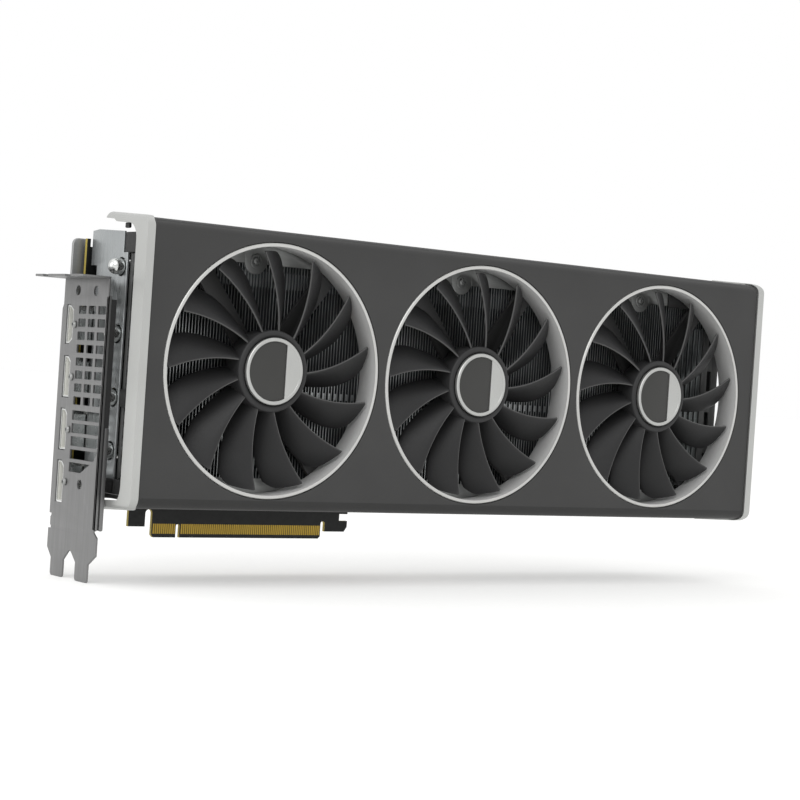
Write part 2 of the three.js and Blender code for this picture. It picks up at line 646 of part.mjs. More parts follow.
function bracketOutline() {
  const b = BRACKET;
  const corner = b.tongueCorner;
  const [inner, outer] = b.tongues;
  return outline([
    [b.upperFront, b.top], [b.upperFront, b.frontStepTop], [b.lowerFront, b.frontStepBottom],
    [b.lowerFront, b.shoulderZ],
    [inner[0], b.neckZ], [inner[0], b.tongueBottom + corner], [inner[0] + corner, b.tongueBottom],
    [inner[1] - corner, b.tongueBottom], [inner[1], b.tongueBottom + corner], [inner[1], b.neckZ],
    [(inner[1] + outer[0]) / 2, b.apexZ], [outer[0], b.neckZ], [outer[0], b.tongueBottom + corner],
    [outer[0] + corner, b.tongueBottom], [outer[1] - corner, b.tongueBottom],
    [outer[1], b.tongueBottom + corner], [outer[1], b.neckZ], [b.lowerBack, b.shoulderZ],
    [b.lowerBack, b.backNotchBottom], [b.backNotchY, b.backNotchBottom], [b.backNotchY, b.backNotchTop],
    [b.stepBack, b.backNotchTop], [b.stepBack, b.stepZ - b.stepSlope], [b.upperBack, b.stepZ],
    [b.upperBack, b.top],
  ]);
}

// The rectangular vents, then the long slots, which a slanted edge shortens near the bottom.
function ventTools() {
  const v = VENT;
  const x0 = BRACKET.left - OVERCUT;
  const x1 = BRACKET.left + BRACKET.thickness + OVERCUT;
  const tools = [];
  for (let row = 0; row < v.rows; row += 1) {
    const top = v.topZ - row * v.pitch;
    for (const [y0, y1] of v.columns) tools.push(block(x0, x1, y0, y1, top - v.holeHeight, top));
  }
  const first = v.columns[0][0];
  const last = v.columns[v.columns.length - 1][1];
  const keep = slabYZ(outline([
    [v.cutFront, v.cutFrontZ], [v.cutBack, v.cutBackZ], [v.cutBack, v.cutBackZ + v.wedge * 2],
    [v.cutFront, v.cutFrontZ + v.wedge],
  ]), x0, x1);
  for (let row = 0; row < v.slots; row += 1) {
    const top = v.slotTop - row * v.pitch;
    tools.push(common(block(x0, x1, first, last, top - v.slotHeight, top), keep));
  }
  return tools;
}

function portOutline(z, height, width, cutSize, margin) {
  const y0 = PORT.centreY - width / 2 - margin;
  const y1 = PORT.centreY + width / 2 + margin;
  const z0 = z - height / 2 - margin;
  const z1 = z + height / 2 + margin;
  return { y0, y1, z0, z1, cutSize };
}

// A display port mouth has one cut corner.
function displayShape(z, margin) {
  const { displayHeight, displayWidth, displayCut } = PORT;
  const { y0, y1, z0, z1, cutSize } = portOutline(z, displayHeight, displayWidth, displayCut, margin);
  return outline([[y0, z0], [y1, z0], [y1, z1], [y0 + cutSize, z1], [y0, z1 - cutSize]]);
}

// A multimedia port mouth narrows towards one side at both ends.
function hdmiShape(margin) {
  const { hdmiZ, hdmiHeight, hdmiWidth, hdmiCut } = PORT;
  const { y0, y1, z0, z1, cutSize } = portOutline(hdmiZ, hdmiHeight, hdmiWidth, hdmiCut, margin);
  const middle = (y0 + y1) / 2;
  return outline([
    [y0, z0 + cutSize], [middle, z0], [y1, z0], [y1, z1], [middle, z1], [y0, z1 - cutSize],
  ]);
}

function port(shapeOf) {
  const start = BRACKET.left + PORT.recess;
  const end = start + PORT.depth;
  const hollow = slabYZ(shapeOf(-PORT.shell), start - OVERCUT, end - PORT.back);
  return cut(slabYZ(shapeOf(0), start, end), [hollow]);
}

function slotBracket() {
  const b = BRACKET;
  const { reach, slotWidth, slotDepth } = TONGUE_TAB;
  const x1 = b.left + b.thickness;
  const cut0 = b.left - OVERCUT;
  const cut1 = x1 + OVERCUT;
  const tabEnd = b.left - reach;
  const plate = slabYZ(bracketOutline(), b.left, x1);
  const topTab = block(tabEnd, x1, TONGUE_TAB.front, TONGUE_TAB.back, b.top - b.thickness, b.top);
  const flange = block(b.left, b.left + FLANGE.reach, FLANGE.front, FLANGE.front + FLANGE.thickness,
    FLANGE.bottom, FLANGE.top);
  const tabSlots = TONGUE_TAB.slots.map((y) => block(
    tabEnd - OVERCUT, tabEnd + slotDepth, y - slotWidth / 2, y + slotWidth / 2,
    b.top - b.thickness - OVERCUT, b.top + OVERCUT));
  const round = BRACKET_HOLES.places.map(([y, z]) =>
    crossRod(y, z, BRACKET_HOLES.radius, cut0, cut1, BRACKET_HOLES.sides));
  const mouths = [
    slabYZ(hdmiShape(PORT.clearance), cut0, cut1),
    ...PORT.displayZ.map((z) => slabYZ(displayShape(z, PORT.clearance), cut0, cut1)),
  ];
  return cut(join([plate, topTab, flange]), [...tabSlots, ...ventTools(), ...round, ...mouths]);
}

// A small hexagon-socket screw on the outer face of the bracket.
function jackScrew(y, z) {
  const { radius, head, socket, sides, socketSides } = JACK_SCREW;
  const x1 = BRACKET.left - GAP;
  const body = crossRod(y, z, radius, x1 - head, x1, sides);
  return cut(body, [crossRod(y, z, socket, x1 - head - OVERCUT, x1 - head / 2, socketSides)]);
}

// ---------- assembly ----------

add('front_shroud', frontShroud(), darkPanel);
add('end_frame_left', endFrame(-TRIM.width, -GAP, -1), silverTrim);
add('end_frame_right', endFrame(PANEL.length + GAP, PANEL.length + TRIM.right, 1), silverTrim);
add('upper_rail', rail(RAIL.upperBottom, RAIL.upperTop, true), greyPlate);
add('lower_rail', rail(RAIL.lowerBottom, RAIL.lowerTop, false), greyPlate);

for (let i = 0; i < FAN.count; i += 1) {
  const fan = new THREE.Group();
  fan.position.set(fanX(i), 0, FAN.z);
  card.add(fan);
  const number = i + 1;
  add(`fan_ring_${number}`, fanRing(), paleRing, fan);
  add(`fan_frame_${number}`, fanFrame(), blackPlastic, fan);
  add(`fan_stator_${number}`, fanStator(), copper, fan);
  add(`fan_rotor_${number}`, fanRotor(ROTOR.firstAngles[i]), bladePlastic, fan);
  add(`fan_badge_ring_${number}`, badgeRing(), silverTrim, fan);
  add(`fan_badge_face_${number}`, badgeFace(), badgeDark, fan);
}

add('fin_stack_front', finStack(FRONT_FINS), darkFin);
add('fin_stack_rear_left', finStack(LEFT_FINS), darkFin);
add('fin_stack_rear_right', finStack(RIGHT_FINS), darkFin);
add('fin_stack_flow_end', finStack(FLOW_FINS), darkFin);
PIPE.heights.forEach((height, i) => {
  add(`heat_pipe_${i + 1}`, heatPipe(height, PIPE.innerHeights[i]), nickel);
});
add('end_plate_left', endPlate(), greyPlate);
add('end_wall_right', endWall(), blackPlastic);
add('cold_plate', coldPlate(), copper);

add('circuit_board', slabXZ(boardOutline(), BOARD.front, BOARD.back), boardBlack);
const keyRight = EDGE.keyLeft + EDGE.keyWidth;
add('contacts_short', contactStrip(EDGE.left, EDGE.keyLeft), gold);
add('contacts_long', contactStrip(keyRight, EDGE.right), gold);
const chipShape = chamferedRectangle(CHIP.left, CHIP.right, CHIP.bottom, CHIP.top, CHIP.corner);
add('processor_package', onBoard(chipShape, CHIP.thickness), chipBlack);
const dieBack = BOARD.front - GAP - CHIP.thickness - GAP;
const dieFront = dieBack - DIE.thickness;
add('processor_die', block(DIE.left, DIE.right, dieFront, dieBack, DIE.bottom, DIE.top), nickel);
let memoryNumber = 1;
for (const x of MEMORY.columns) {
  for (const z of MEMORY.heights) {
    const shape = outline([
      [x, z], [x + MEMORY.width, z], [x + MEMORY.width, z + MEMORY.height], [x, z + MEMORY.height],
    ]);
    add(`memory_chip_${memoryNumber}`, onBoard(shape, MEMORY.thickness), chipBlack);
    memoryNumber += 1;
  }
}
let chokeNumber = 1;
for (const x of CHOKE.columns) {
  for (const z of CHOKE.heights) {
    const shape = chamferedRectangle(x, x + CHOKE.size, z, z + CHOKE.size, CHOKE.corner);
    add(`choke_${chokeNumber}`, onBoard(shape, CHOKE.thickness), chokeGrey);
    chokeNumber += 1;
  }
}
SOCKET.places.forEach((x, i) => add(`power_socket_${i + 1}`, powerSocket(x), blackPlastic));
add('switch_body', switchBody(), blackPlastic);
add('switch_knob', switchKnob(), paleRing);

add('backplate', backplate(), backplateMetal);
add('clamp_cross', clampCross(), nickel);

add('slot_bracket', slotBracket(), bracketSteel);
add('hdmi_port', port(hdmiShape), nickel);
PORT.displayZ.forEach((z, i) => {
  add(`display_port_${i + 1}`, port((margin) => displayShape(z, margin)), nickel);
});
JACK_SCREW.heights.forEach((z, i) => add(`jack_screw_${i + 1}`, jackScrew(JACK_SCREW.y, z), nickel));

export default card;
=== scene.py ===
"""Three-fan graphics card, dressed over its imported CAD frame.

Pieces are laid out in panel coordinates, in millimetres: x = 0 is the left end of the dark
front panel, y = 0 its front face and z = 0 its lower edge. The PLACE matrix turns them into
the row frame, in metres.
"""
import math
import random

import bmesh
import bpy
from mathutils import Euler, Matrix, Vector


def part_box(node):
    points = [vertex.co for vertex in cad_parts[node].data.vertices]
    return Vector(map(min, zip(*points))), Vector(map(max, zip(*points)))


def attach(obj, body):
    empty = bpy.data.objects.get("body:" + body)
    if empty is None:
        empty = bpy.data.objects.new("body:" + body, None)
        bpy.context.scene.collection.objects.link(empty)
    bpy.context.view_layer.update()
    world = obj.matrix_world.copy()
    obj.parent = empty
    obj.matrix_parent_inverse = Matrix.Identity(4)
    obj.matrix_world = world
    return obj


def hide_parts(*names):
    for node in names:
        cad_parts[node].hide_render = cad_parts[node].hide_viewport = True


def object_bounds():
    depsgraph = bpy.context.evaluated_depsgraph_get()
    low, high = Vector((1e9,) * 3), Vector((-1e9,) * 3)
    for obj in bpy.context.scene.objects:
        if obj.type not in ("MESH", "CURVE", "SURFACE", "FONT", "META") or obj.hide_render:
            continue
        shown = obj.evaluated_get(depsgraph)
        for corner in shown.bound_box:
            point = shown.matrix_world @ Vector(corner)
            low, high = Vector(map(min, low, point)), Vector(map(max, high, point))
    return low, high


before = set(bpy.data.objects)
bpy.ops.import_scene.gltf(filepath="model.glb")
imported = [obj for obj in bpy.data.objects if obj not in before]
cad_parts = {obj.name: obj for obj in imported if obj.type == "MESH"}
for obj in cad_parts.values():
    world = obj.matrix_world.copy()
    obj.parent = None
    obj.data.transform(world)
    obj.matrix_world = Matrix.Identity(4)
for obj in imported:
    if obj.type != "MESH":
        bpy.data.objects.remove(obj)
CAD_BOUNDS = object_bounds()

MM = 0.001
PANEL_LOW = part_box("front_shroud")[0]
PLACE = Matrix.Translation(PANEL_LOW) @ Matrix.Scale(MM, 4)

# Where each flat drawing plane goes: (u, v, w) to (x, y, z).
FRONT_VIEW = Matrix(((1, 0, 0, 0), (0, 0, -1, 0), (0, 1, 0, 0), (0, 0, 0, 1)))
SIDE_VIEW = Matrix(((0, 0, 1, 0), (1, 0, 0, 0), (0, 1, 0, 0), (0, 0, 0, 1)))
TOP_VIEW = Matrix.Identity(4)


def box_mm(node):
    """The low and high corners of a CAD node, in panel millimetres."""
    low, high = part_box(node)
    return (low - PANEL_LOW) / MM, (high - PANEL_LOW) / MM


# ---------------------------------------------------------------- materials


def surface(name, color, roughness, metallic=0.0, variation=0.08, patch=40.0, grain=1400.0,
            relief=0.00003, strength=0.25, edge_wear_and_highlight=0.0, stretch=(1, 1, 1), specular=0.5):
    """A material with blotches, fine grain, uneven gloss and lighter edges: edge wear, and on the
    blades also a painted highlight.
    """
    material = bpy.data.materials.new(name)
    material.use_nodes = True
    nodes, links = material.node_tree.nodes, material.node_tree.links
    shader = nodes["Principled BSDF"]
    shader.inputs["Metallic"].default_value = metallic
    shader.inputs["Specular IOR Level"].default_value = specular
    coords = nodes.new("ShaderNodeTexCoord")
    mapping = nodes.new("ShaderNodeMapping")
    mapping.inputs["Scale"].default_value = stretch
    links.new(coords.outputs["Object"], mapping.inputs["Vector"])

    def noise(scale, detail, source):
        node = nodes.new("ShaderNodeTexNoise")
        node.inputs["Scale"].default_value = scale
        node.inputs["Detail"].default_value = detail
        links.new(source, node.inputs["Vector"])
        return node.outputs["Fac"]

    def mix(factor, a, b):
        node = nodes.new("ShaderNodeMix")
        node.data_type = "RGBA"
        for socket, value in ((node.inputs[0], factor), (node.inputs[6], a), (node.inputs[7], b)):
            if isinstance(value, bpy.types.NodeSocket):
                links.new(value, socket)
            else:
                socket.default_value = value
        return node.outputs[2]

    def ranged(value, low, high, to_low, to_high):
        node = nodes.new("ShaderNodeMapRange")
        links.new(value, node.inputs["Value"])
        for key, number in zip(("From Min", "From Max", "To Min", "To Max"),
                               (low, high, to_low, to_high)):
            node.inputs[key].default_value = number
        return node.outputs["Result"]

    blotch = noise(patch, 3.0, coords.outputs["Object"])
    fine = noise(grain, 2.0, mapping.outputs["Vector"])
    dark = [channel * (1 - variation) for channel in color] + [1]
    light = [min(1, channel * (1 + variation)) for channel in color] + [1]
    speck = [channel * (1 - variation * 1.6) for channel in color] + [1]
    tone = mix(ranged(blotch, 0.3, 0.7, 0, 1), dark, light)
    tone = mix(ranged(fine, 0.45, 0.75, 0, 0.7), tone, speck)
    # Pointiness lightens convex edges: edge wear, and on the blades also a painted highlight along
    # the edges.
    if edge_wear_and_highlight:
        geometry = nodes.new("ShaderNodeNewGeometry")
        lighter_edge_tone = [min(1, channel * 1.5 + 0.08) for channel in color] + [1]
        tone = mix(ranged(geometry.outputs["Pointiness"], 0.52, 0.6, 0, edge_wear_and_highlight), tone, lighter_edge_tone)
    links.new(tone, shader.inputs["Base Color"])
    links.new(ranged(fine, 0.3, 0.7, roughness - 0.05, roughness + 0.06), shader.inputs["Roughness"])
    bump = nodes.new("ShaderNodeBump")
    bump.inputs["Strength"].default_value = strength
    bump.inputs["Distance"].default_value = relief
    links.new(fine, bump.inputs["Height"])
    links.new(bump.outputs["Normal"], shader.inputs["Normal"])
    return material


BRUSHED_X = (0.03, 1, 1)
BRUSHED_Z = (1, 1, 0.03)
LOOK = {
    "panel": surface("panel_coat", (0.037, 0.037, 0.0365), 0.46, 0.35, grain=2600, edge_wear_and_highlight=0.15),
    # shade: a darker copy of the panel coat, painted shade on the panel's lower roll.
    "shade": surface("panel_lower_roll_painted_shade", (0.022, 0.022, 0.0215), 0.5, 0.3, grain=2600, edge_wear_and_highlight=0.15),
    "silver": surface("silver_anodised", (0.46, 0.465, 0.452), 0.36, 0.75, 0.04, grain=3000),
    "lip": surface("ring_lip", (0.52, 0.52, 0.505), 0.36, 0.45, 0.04, grain=2400),
    # duct: a slightly darker, less metallic copy of the lip material, painted shade inside the duct.
    "duct": surface("duct_wall_painted_shade", (0.50, 0.50, 0.495), 0.45, 0.2, 0.06, grain=1800),
    # The blades' lighter edges are partly painted highlight.
    "blade": surface("blade_plastic", (0.0145, 0.0145, 0.015), 0.48, 0.0, 0.1, grain=2200,
                     edge_wear_and_highlight=0.3, specular=0.32),
    # A lighter copy of the blade plastic: painted highlight along each blade's leading edge.
    "blade_edge_painted_highlight": surface("blade_edge_painted_highlight", (0.055, 0.055, 0.054), 0.4, 0.0, 0.08, grain=2200),
    "badge": surface("badge_face", (0.040, 0.040, 0.038), 0.42, 0.4, 0.05, grain=2600),
    "black": surface("black_plastic", (0.012, 0.012, 0.012), 0.5, 0.0, 0.15, grain=1700, edge_wear_and_highlight=0.2,
                     specular=0.35),
    "gloss": surface("black_gloss", (0.012, 0.013, 0.013), 0.18, 0.0, 0.15, grain=900),
    "flange": surface("flange_coat", (0.060, 0.061, 0.060), 0.48, 0.3, 0.08, grain=2200, edge_wear_and_highlight=0.2),
    "copper": surface("copper", (0.62, 0.29, 0.15), 0.3, 1.0, 0.1, stretch=BRUSHED_X),
    "nickel": surface("nickel", (0.62, 0.63, 0.62), 0.22, 1.0, 0.06, grain=1500),
    # fin: the fins' metal darkened, painted shade inside the stack. fin_edge_painted_highlight: a
    # lighter copy, painted highlight on the front edges and tabs.
    "fin": surface("fin_metal_painted_shade", (0.13, 0.14, 0.14), 0.36, 0.85, 0.12, patch=90, stretch=BRUSHED_Z),
    "fin_edge_painted_highlight": surface("fin_edge_painted_highlight", (0.36, 0.375, 0.375), 0.34, 0.6, 0.25, patch=60,
                        stretch=BRUSHED_Z),
    "rail": surface("rail_metal", (0.27, 0.275, 0.27), 0.4, 0.55, 0.08, stretch=BRUSHED_X),
    "plate": surface("end_plate_metal", (0.36, 0.378, 0.382), 0.3, 0.8, 0.06, stretch=BRUSHED_Z),
    "bracket": surface("bracket_steel", (0.20, 0.20, 0.20), 0.42, 0.7, 0.06, stretch=BRUSHED_Z),
    "mask": surface("solder_mask", (0.007, 0.0075, 0.007), 0.42, 0.0, 0.2, grain=700, specular=0.3),
    "laminate": surface("board_edge", (0.36, 0.28, 0.05), 0.6, 0.0, 0.18, grain=2600),
    "gold": surface("contact_gold", (0.40, 0.27, 0.045), 0.32, 0.85, 0.08, stretch=BRUSHED_Z),
    "chip": surface("chip_package", (0.011, 0.012, 0.013), 0.42, 0.0, 0.15, grain=3000),
    "choke": surface("choke_ferrite", (0.07, 0.072, 0.075), 0.6, 0.2, 0.15, grain=1500),
    "back": surface("backplate_metal", (0.27, 0.273, 0.273), 0.42, 0.7, 0.06, stretch=BRUSHED_X,
                    edge_wear_and_highlight=0.2),
    "white": surface("port_liner", (0.62, 0.62, 0.58), 0.5, 0.0, 0.05, grain=1800),
}


# ---------------------------------------------------------------- shape building


def arc(u, v, radius, start, end, steps, radius_v=None):
    """Points on an arc about (u, v), angles in degrees, ends included. A second radius, along
    v, makes it a stretch of an ellipse."""
    tall = radius if radius_v is None else radius_v
    angles = [math.radians(start + (end - start) * i / steps) for i in range(steps + 1)]
    return [(u + radius * math.cos(a), v + tall * math.sin(a)) for a in angles]


def circle(u, v, radius, steps):
    return arc(u, v, radius, 0, 360, steps)[:-1]


def rounded(u0, u1, v0, v1, radius, steps=6):
    return (arc(u0 + radius, v0 + radius, radius, 180, 270, steps)
            + arc(u1 - radius, v0 + radius, radius, 270, 360, steps)
            + arc(u1 - radius, v1 - radius, radius, 0, 90, steps)
            + arc(u0 + radius, v1 - radius, radius, 90, 180, steps))


def turns(steps):
    """Evenly spaced angles once round, in radians."""
    return [2 * math.pi * i / steps for i in range(steps)]


def hoop(x, y, z, radius, steps):
    """Points of an upright circle that faces along Y."""
    return [(x + radius * math.cos(a), y, z + radius * math.sin(a)) for a in turns(steps)]


def linked(name, data):
    """A new object in the scene that shows the data."""
    holder = bpy.data.objects.new(name, data)
    bpy.context.scene.collection.objects.link(holder)
    return holder


def applied(holder):
    """The mesh of an object with its modifiers applied. The object is removed."""
    depsgraph = bpy.context.evaluated_depsgraph_get()
    mesh = bpy.data.meshes.new_from_object(holder.evaluated_get(depsgraph))
    bpy.data.objects.remove(holder)
    return mesh


def plate_mesh(loops, depth, bevel, steps=2):
    """A flat plate with rounded edges. The first loop is its outline, the others are holes."""
    curve = bpy.data.curves.new("plate", "CURVE")
    curve.dimensions = "2D"
    curve.fill_mode = "BOTH"
    curve.extrude = depth / 2 - bevel
    curve.bevel_depth = bevel
    curve.bevel_resolution = steps
    curve.offset = -bevel
    for loop in loops:
        spline = curve.splines.new("POLY")
        spline.points.add(len(loop) - 1)
        for point, (u, v) in zip(spline.points, loop):
            point.co = (u, v, 0, 1)
        spline.use_cyclic_u = True
    mesh = applied(linked("plate", curve))
    bpy.data.curves.remove(curve)
    shape = bmesh.new()
    shape.from_mesh(mesh)
    bmesh.ops.remove_doubles(shape, verts=shape.verts, dist=1e-4)
    bmesh.ops.recalc_face_normals(shape, faces=shape.faces)
    shape.to_mesh(mesh)
    shape.free()
    return mesh


class Part:
    """Gathers closed shapes in panel millimetres and makes one object of them."""

    def __init__(self):
        self.mesh = bmesh.new()

    def take(self, mesh, matrix=TOP_VIEW, finish=0):
        mesh.transform(matrix)
        start = len(self.mesh.faces)
        self.mesh.from_mesh(mesh)
        bpy.data.meshes.remove(mesh)
        self.mesh.faces.ensure_lookup_table()
        for face in self.mesh.faces[start:]:
            face.material_index = finish

    def plate_xz(self, loops, y0, y1, bevel=0.2, steps=2):
        middle = Matrix.Translation((0, (y0 + y1) / 2, 0))
        self.take(plate_mesh(loops, y1 - y0, bevel, steps), middle @ FRONT_VIEW)

    def plate_yz(self, loops, x0, x1, bevel=0.2, finish=0):
        middle = Matrix.Translation(((x0 + x1) / 2, 0, 0))
        self.take(plate_mesh(loops, x1 - x0, bevel), middle @ SIDE_VIEW, finish)

    def plate_xy(self, loops, z0, z1, bevel=0.2):
        middle = Matrix.Translation((0, 0, (z0 + z1) / 2))
        self.take(plate_mesh(loops, z1 - z0, bevel), middle)

    def rings(self, rings, finish=0, caps=True, finishes=None, column_finishes=None):
        """A skin over closed rings of points, with flat caps at both ends. The finishes are for
        each step between rings, or for each column around them."""
        count = len(rings[0])
        corners = [[self.mesh.verts.new(p) for p in ring] for ring in rings]
        for level, (near, far) in enumerate(zip(corners, corners[1:])):
            for i in range(count):
                j = (i + 1) % count
                face = self.mesh.faces.new((near[i], near[j], far[j], far[i]))
                face.material_index = finishes[level] if finishes else finish
                if column_finishes:
                    face.material_index = column_finishes[i]
        if caps:
            self.mesh.faces.new(corners[0]).material_index = finish
            self.mesh.faces.new(corners[-1]).material_index = finish
        return corners

    def block(self, x0, x1, y0, y1, z0, z1, finish=0):
        ring = [(x0, y0), (x1, y0), (x1, y1), (x0, y1)]
        self.rings([[(x, y, z0) for x, y in ring], [(x, y, z1) for x, y in ring]], finish)

    def turned(self, profile, centre, steps=96, finishes=None, closed=True):
        """A shape turned about the Y axis through centre. The profile lists (radius, y)."""
        x, z = centre
        rings = [hoop(x, y, z, radius, steps) for radius, y in profile]
        if closed:
            rings.append(rings[0])
        self.rings(rings, caps=not closed, finishes=finishes)
        bmesh.ops.remove_doubles(self.mesh, verts=self.mesh.verts, dist=1e-5)

    def tube(self, path, radii, sides):
        """A round bar along a path of points, with a radius at each point and flat ends."""
        rings = []
        for i, (point, radius) in enumerate(zip(path, radii)):
            ahead = path[min(i + 1, len(path) - 1)] - path[max(i - 1, 0)]
            side = ahead.cross(Vector((0, 1, 0))).normalized()
            up = side.cross(ahead).normalized()
            rings.append([point + (side * math.cos(a) + up * math.sin(a)) * radius
                          for a in turns(sides)])
        self.rings(rings)

    def refinish(self, rule):
        """Gives each face the finish that the rule picks for it."""
        bmesh.ops.recalc_face_normals(self.mesh, faces=self.mesh.faces)
        for face in self.mesh.faces:
            face.material_index = rule(face)


    def make(self, name, looks, body="card", stands_for=(), angle=35.0, bevel=0.0):
        """Turns the gathered shapes into one finished piece on a body."""
        bmesh.ops.recalc_face_normals(self.mesh, faces=self.mesh.faces)
        mesh = bpy.data.meshes.new(name)
        self.mesh.to_mesh(mesh)
        self.mesh.free()
        mesh.transform(PLACE)
        for look in looks:
            mesh.materials.append(LOOK[look])
        mesh.shade_smooth()
        mesh.set_sharp_from_angle(angle=math.radians(angle))
        piece = linked(name, mesh)
        if bevel:
            soften(piece, bevel)
        if stands_for:
            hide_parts(*stands_for)
        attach(piece, body)


def edge_bevel(piece, width):
    """A modifier that rounds the sharp edges. The width is in the mesh's own units."""
    bevel = piece.modifiers.new("edges", "BEVEL")
    bevel.width = width
    bevel.segments = 2
    bevel.limit_method = "ANGLE"
    bevel.angle_limit = math.radians(40)
    return bevel


def soften(piece, width):
    """Rounds a finished piece's sharp edges. The width is in millimetres."""
    bevel = edge_bevel(piece, width * MM)
    bevel.harden_normals = True
    bevel.use_clamp_overlap = True


def combined(first, second, operation):
    """The exact boolean of two meshes."""
    holder, cutter = linked("shape", first), linked("cutter", second)
    cut = holder.modifiers.new("cut", "BOOLEAN")
    cut.operation = operation
    cut.solver = "EXACT"
    cut.object = cutter
    result = applied(holder)
    bpy.data.objects.remove(cutter)
    return result


def prism(loop, matrix, low, high):
    """A sharp prism of one outline, from low to high along the plane's normal."""
    shape = bmesh.new()
    near = [shape.verts.new((u, v, low)) for u, v in loop]
    far = [shape.verts.new((u, v, high)) for u, v in loop]
    shape.faces.new(near)
    shape.faces.new(far)
    for i in range(len(loop)):
        j = (i + 1) % len(loop)
        shape.faces.new((near[i], near[j], far[j], far[i]))
    bmesh.ops.recalc_face_normals(shape, faces=shape.faces)
    mesh = bpy.data.meshes.new("prism")
    shape.to_mesh(mesh)
    shape.free()
    mesh.transform(matrix)
    return mesh


# ---------------------------------------------------------------- front panel

PANEL_HIGH = box_mm("front_shroud")[1]
LENGTH, WALL_DEPTH, HEIGHT = PANEL_HIGH
FAN_NUMBERS = (1, 2, 3)
RING_BOXES = {n: box_mm(f"fan_ring_{n}") for n in FAN_NUMBERS}
CENTRES = {n: ((low.x + high.x) / 2, (low.z + high.z) / 2)
           for n, (low, high) in RING_BOXES.items()}
RING_RADIUS = (RING_BOXES[1][1].x - RING_BOXES[1][0].x) / 2
FAN_HOLE = RING_RADIUS + 0.3

CORNER = 1.8
INNER_CORNER = 0.6
EDGE_BAND = 1.6
PANEL_FACE = 2.0
PANEL_WALL = 1.8
SIDE_DEPTH = 6.0
CORNER_STEPS = 6
# How the face rolls back into each wall: (depth, height).
LOWER_ROLL = (4.7, 4.4)
UPPER_ROLL = (5.6, 4.0)
SIDE_ROLL = (0.5, 0.5)
ROLL_STEPS = 9
# The inner face, from the walls forward: the insets and depths of the lower, upper, side edges.
INNER_STEPS = (((PANEL_WALL,) * 3, (WALL_DEPTH, WALL_DEPTH, SIDE_DEPTH)),
               ((PANEL_WALL,) * 3, (4.7, 5.6, 3.6)),
               ((2.9, 2.7, 1.9), (2.7, 2.9, 2.5)),
               ((4.5, 4.2, 2.4), (PANEL_FACE,) * 3))
HOLE_STEPS = 128
HOLE_EDGE = 0.35


def panel_ring(insets, depths, corner=CORNER):
    """A loop around the panel. insets and depths are those of its (lower, upper, side) edges."""
    down, up, side = insets
    x0, x1, z0, z1 = side + corner, LENGTH - side - corner, down + corner, HEIGHT - up - corner
    y_down, y_up, y_side = depths
    ring = []
    for x, z, start, y0, y1 in ((x0, z0, 180, y_side, y_down), (x1, z0, 270, y_down, y_side),
                                (x1, z1, 0, y_side, y_up), (x0, z1, 90, y_up, y_side)):
        for i in range(CORNER_STEPS + 1):
            turn = math.pi / 2 * i / CORNER_STEPS
            a = math.radians(start) + turn
            y = y0 + (y1 - y0) * math.sin(turn) ** 2
            ring.append((x + corner * math.cos(a), y, z + corner * math.sin(a)))
    return ring


def panel_finish(face):
    """Black on the walls and along the top edge, and painted shade on the lower roll: a darker copy
    of the panel coat.
    """
    middle = face.calc_center_median()
    if middle.y > LOWER_ROLL[0] or middle.z > HEIGHT - EDGE_BAND:
        return 1
    # The lower roll faces down; its darker finish is painted shade.
    on_lower_roll = middle.y > 0.01 and middle.z < LOWER_ROLL[1]
    return 2 if on_lower_roll else 0


def panel():
    """The dark front panel: a rolled front edge, walls above and below, and three openings."""
    part = Part()
    rings = []
    rolls = (LOWER_ROLL, UPPER_ROLL, SIDE_ROLL)
    for step in range(ROLL_STEPS + 1):
        turn = math.pi / 2 * step / ROLL_STEPS
        rings.append(panel_ring([height * (1 - math.sin(turn)) for _, height in rolls],
                                [depth * (1 - math.cos(turn)) for depth, _ in rolls]))
    rings.append(panel_ring((0, 0, 0), (WALL_DEPTH, WALL_DEPTH, SIDE_DEPTH)))
    rings += [panel_ring(insets, depths, INNER_CORNER) for insets, depths in INNER_STEPS]
    skins = part.rings(rings, caps=False)
    walls = []
    for x, z in CENTRES.values():
        profile = ((FAN_HOLE + HOLE_EDGE, 0), (FAN_HOLE + HOLE_EDGE * 0.3, HOLE_EDGE * 0.3),
                   (FAN_HOLE, HOLE_EDGE), (FAN_HOLE, PANEL_FACE))
        loops = [hoop(x, y, z, radius, HOLE_STEPS) for radius, y in profile]
        walls.append(part.rings(loops, caps=False))
    for outer, level in ((skins[0], 0), (skins[-1], -1)):
        loops = [outer] + [wall[level] for wall in walls]
        edges = []
        for loop in loops:
            for a, b in zip(loop, loop[1:] + loop[:1]):
                edges.append(part.mesh.edges.get((a, b)))
        bmesh.ops.triangle_fill(part.mesh, edges=edges, use_beauty=True, use_dissolve=False)
    part.refinish(panel_finish)
    part.make("front_panel", ["panel", "black", "shade"], stands_for=["front_shroud"],
              angle=22)


# ---------------------------------------------------------------- silver end frames

FRAME = {
    "corner": 2.4, "strip_back": 8.0, "upper_arm": 3.6, "lower_arm": 3.6, "tip": 2.6,
    "tip_start": 24.4, "upper_corner": 6.0, "lower_corner": (3.0, 6.0), "wrap": 1.0, "gap": 0.3,
    "flare": 2.2, "edge": 0.22,
}


def grown_panel(margin):
    return rounded(-margin, LENGTH + margin, -margin, HEIGHT + margin, CORNER + margin,
                   CORNER_STEPS)


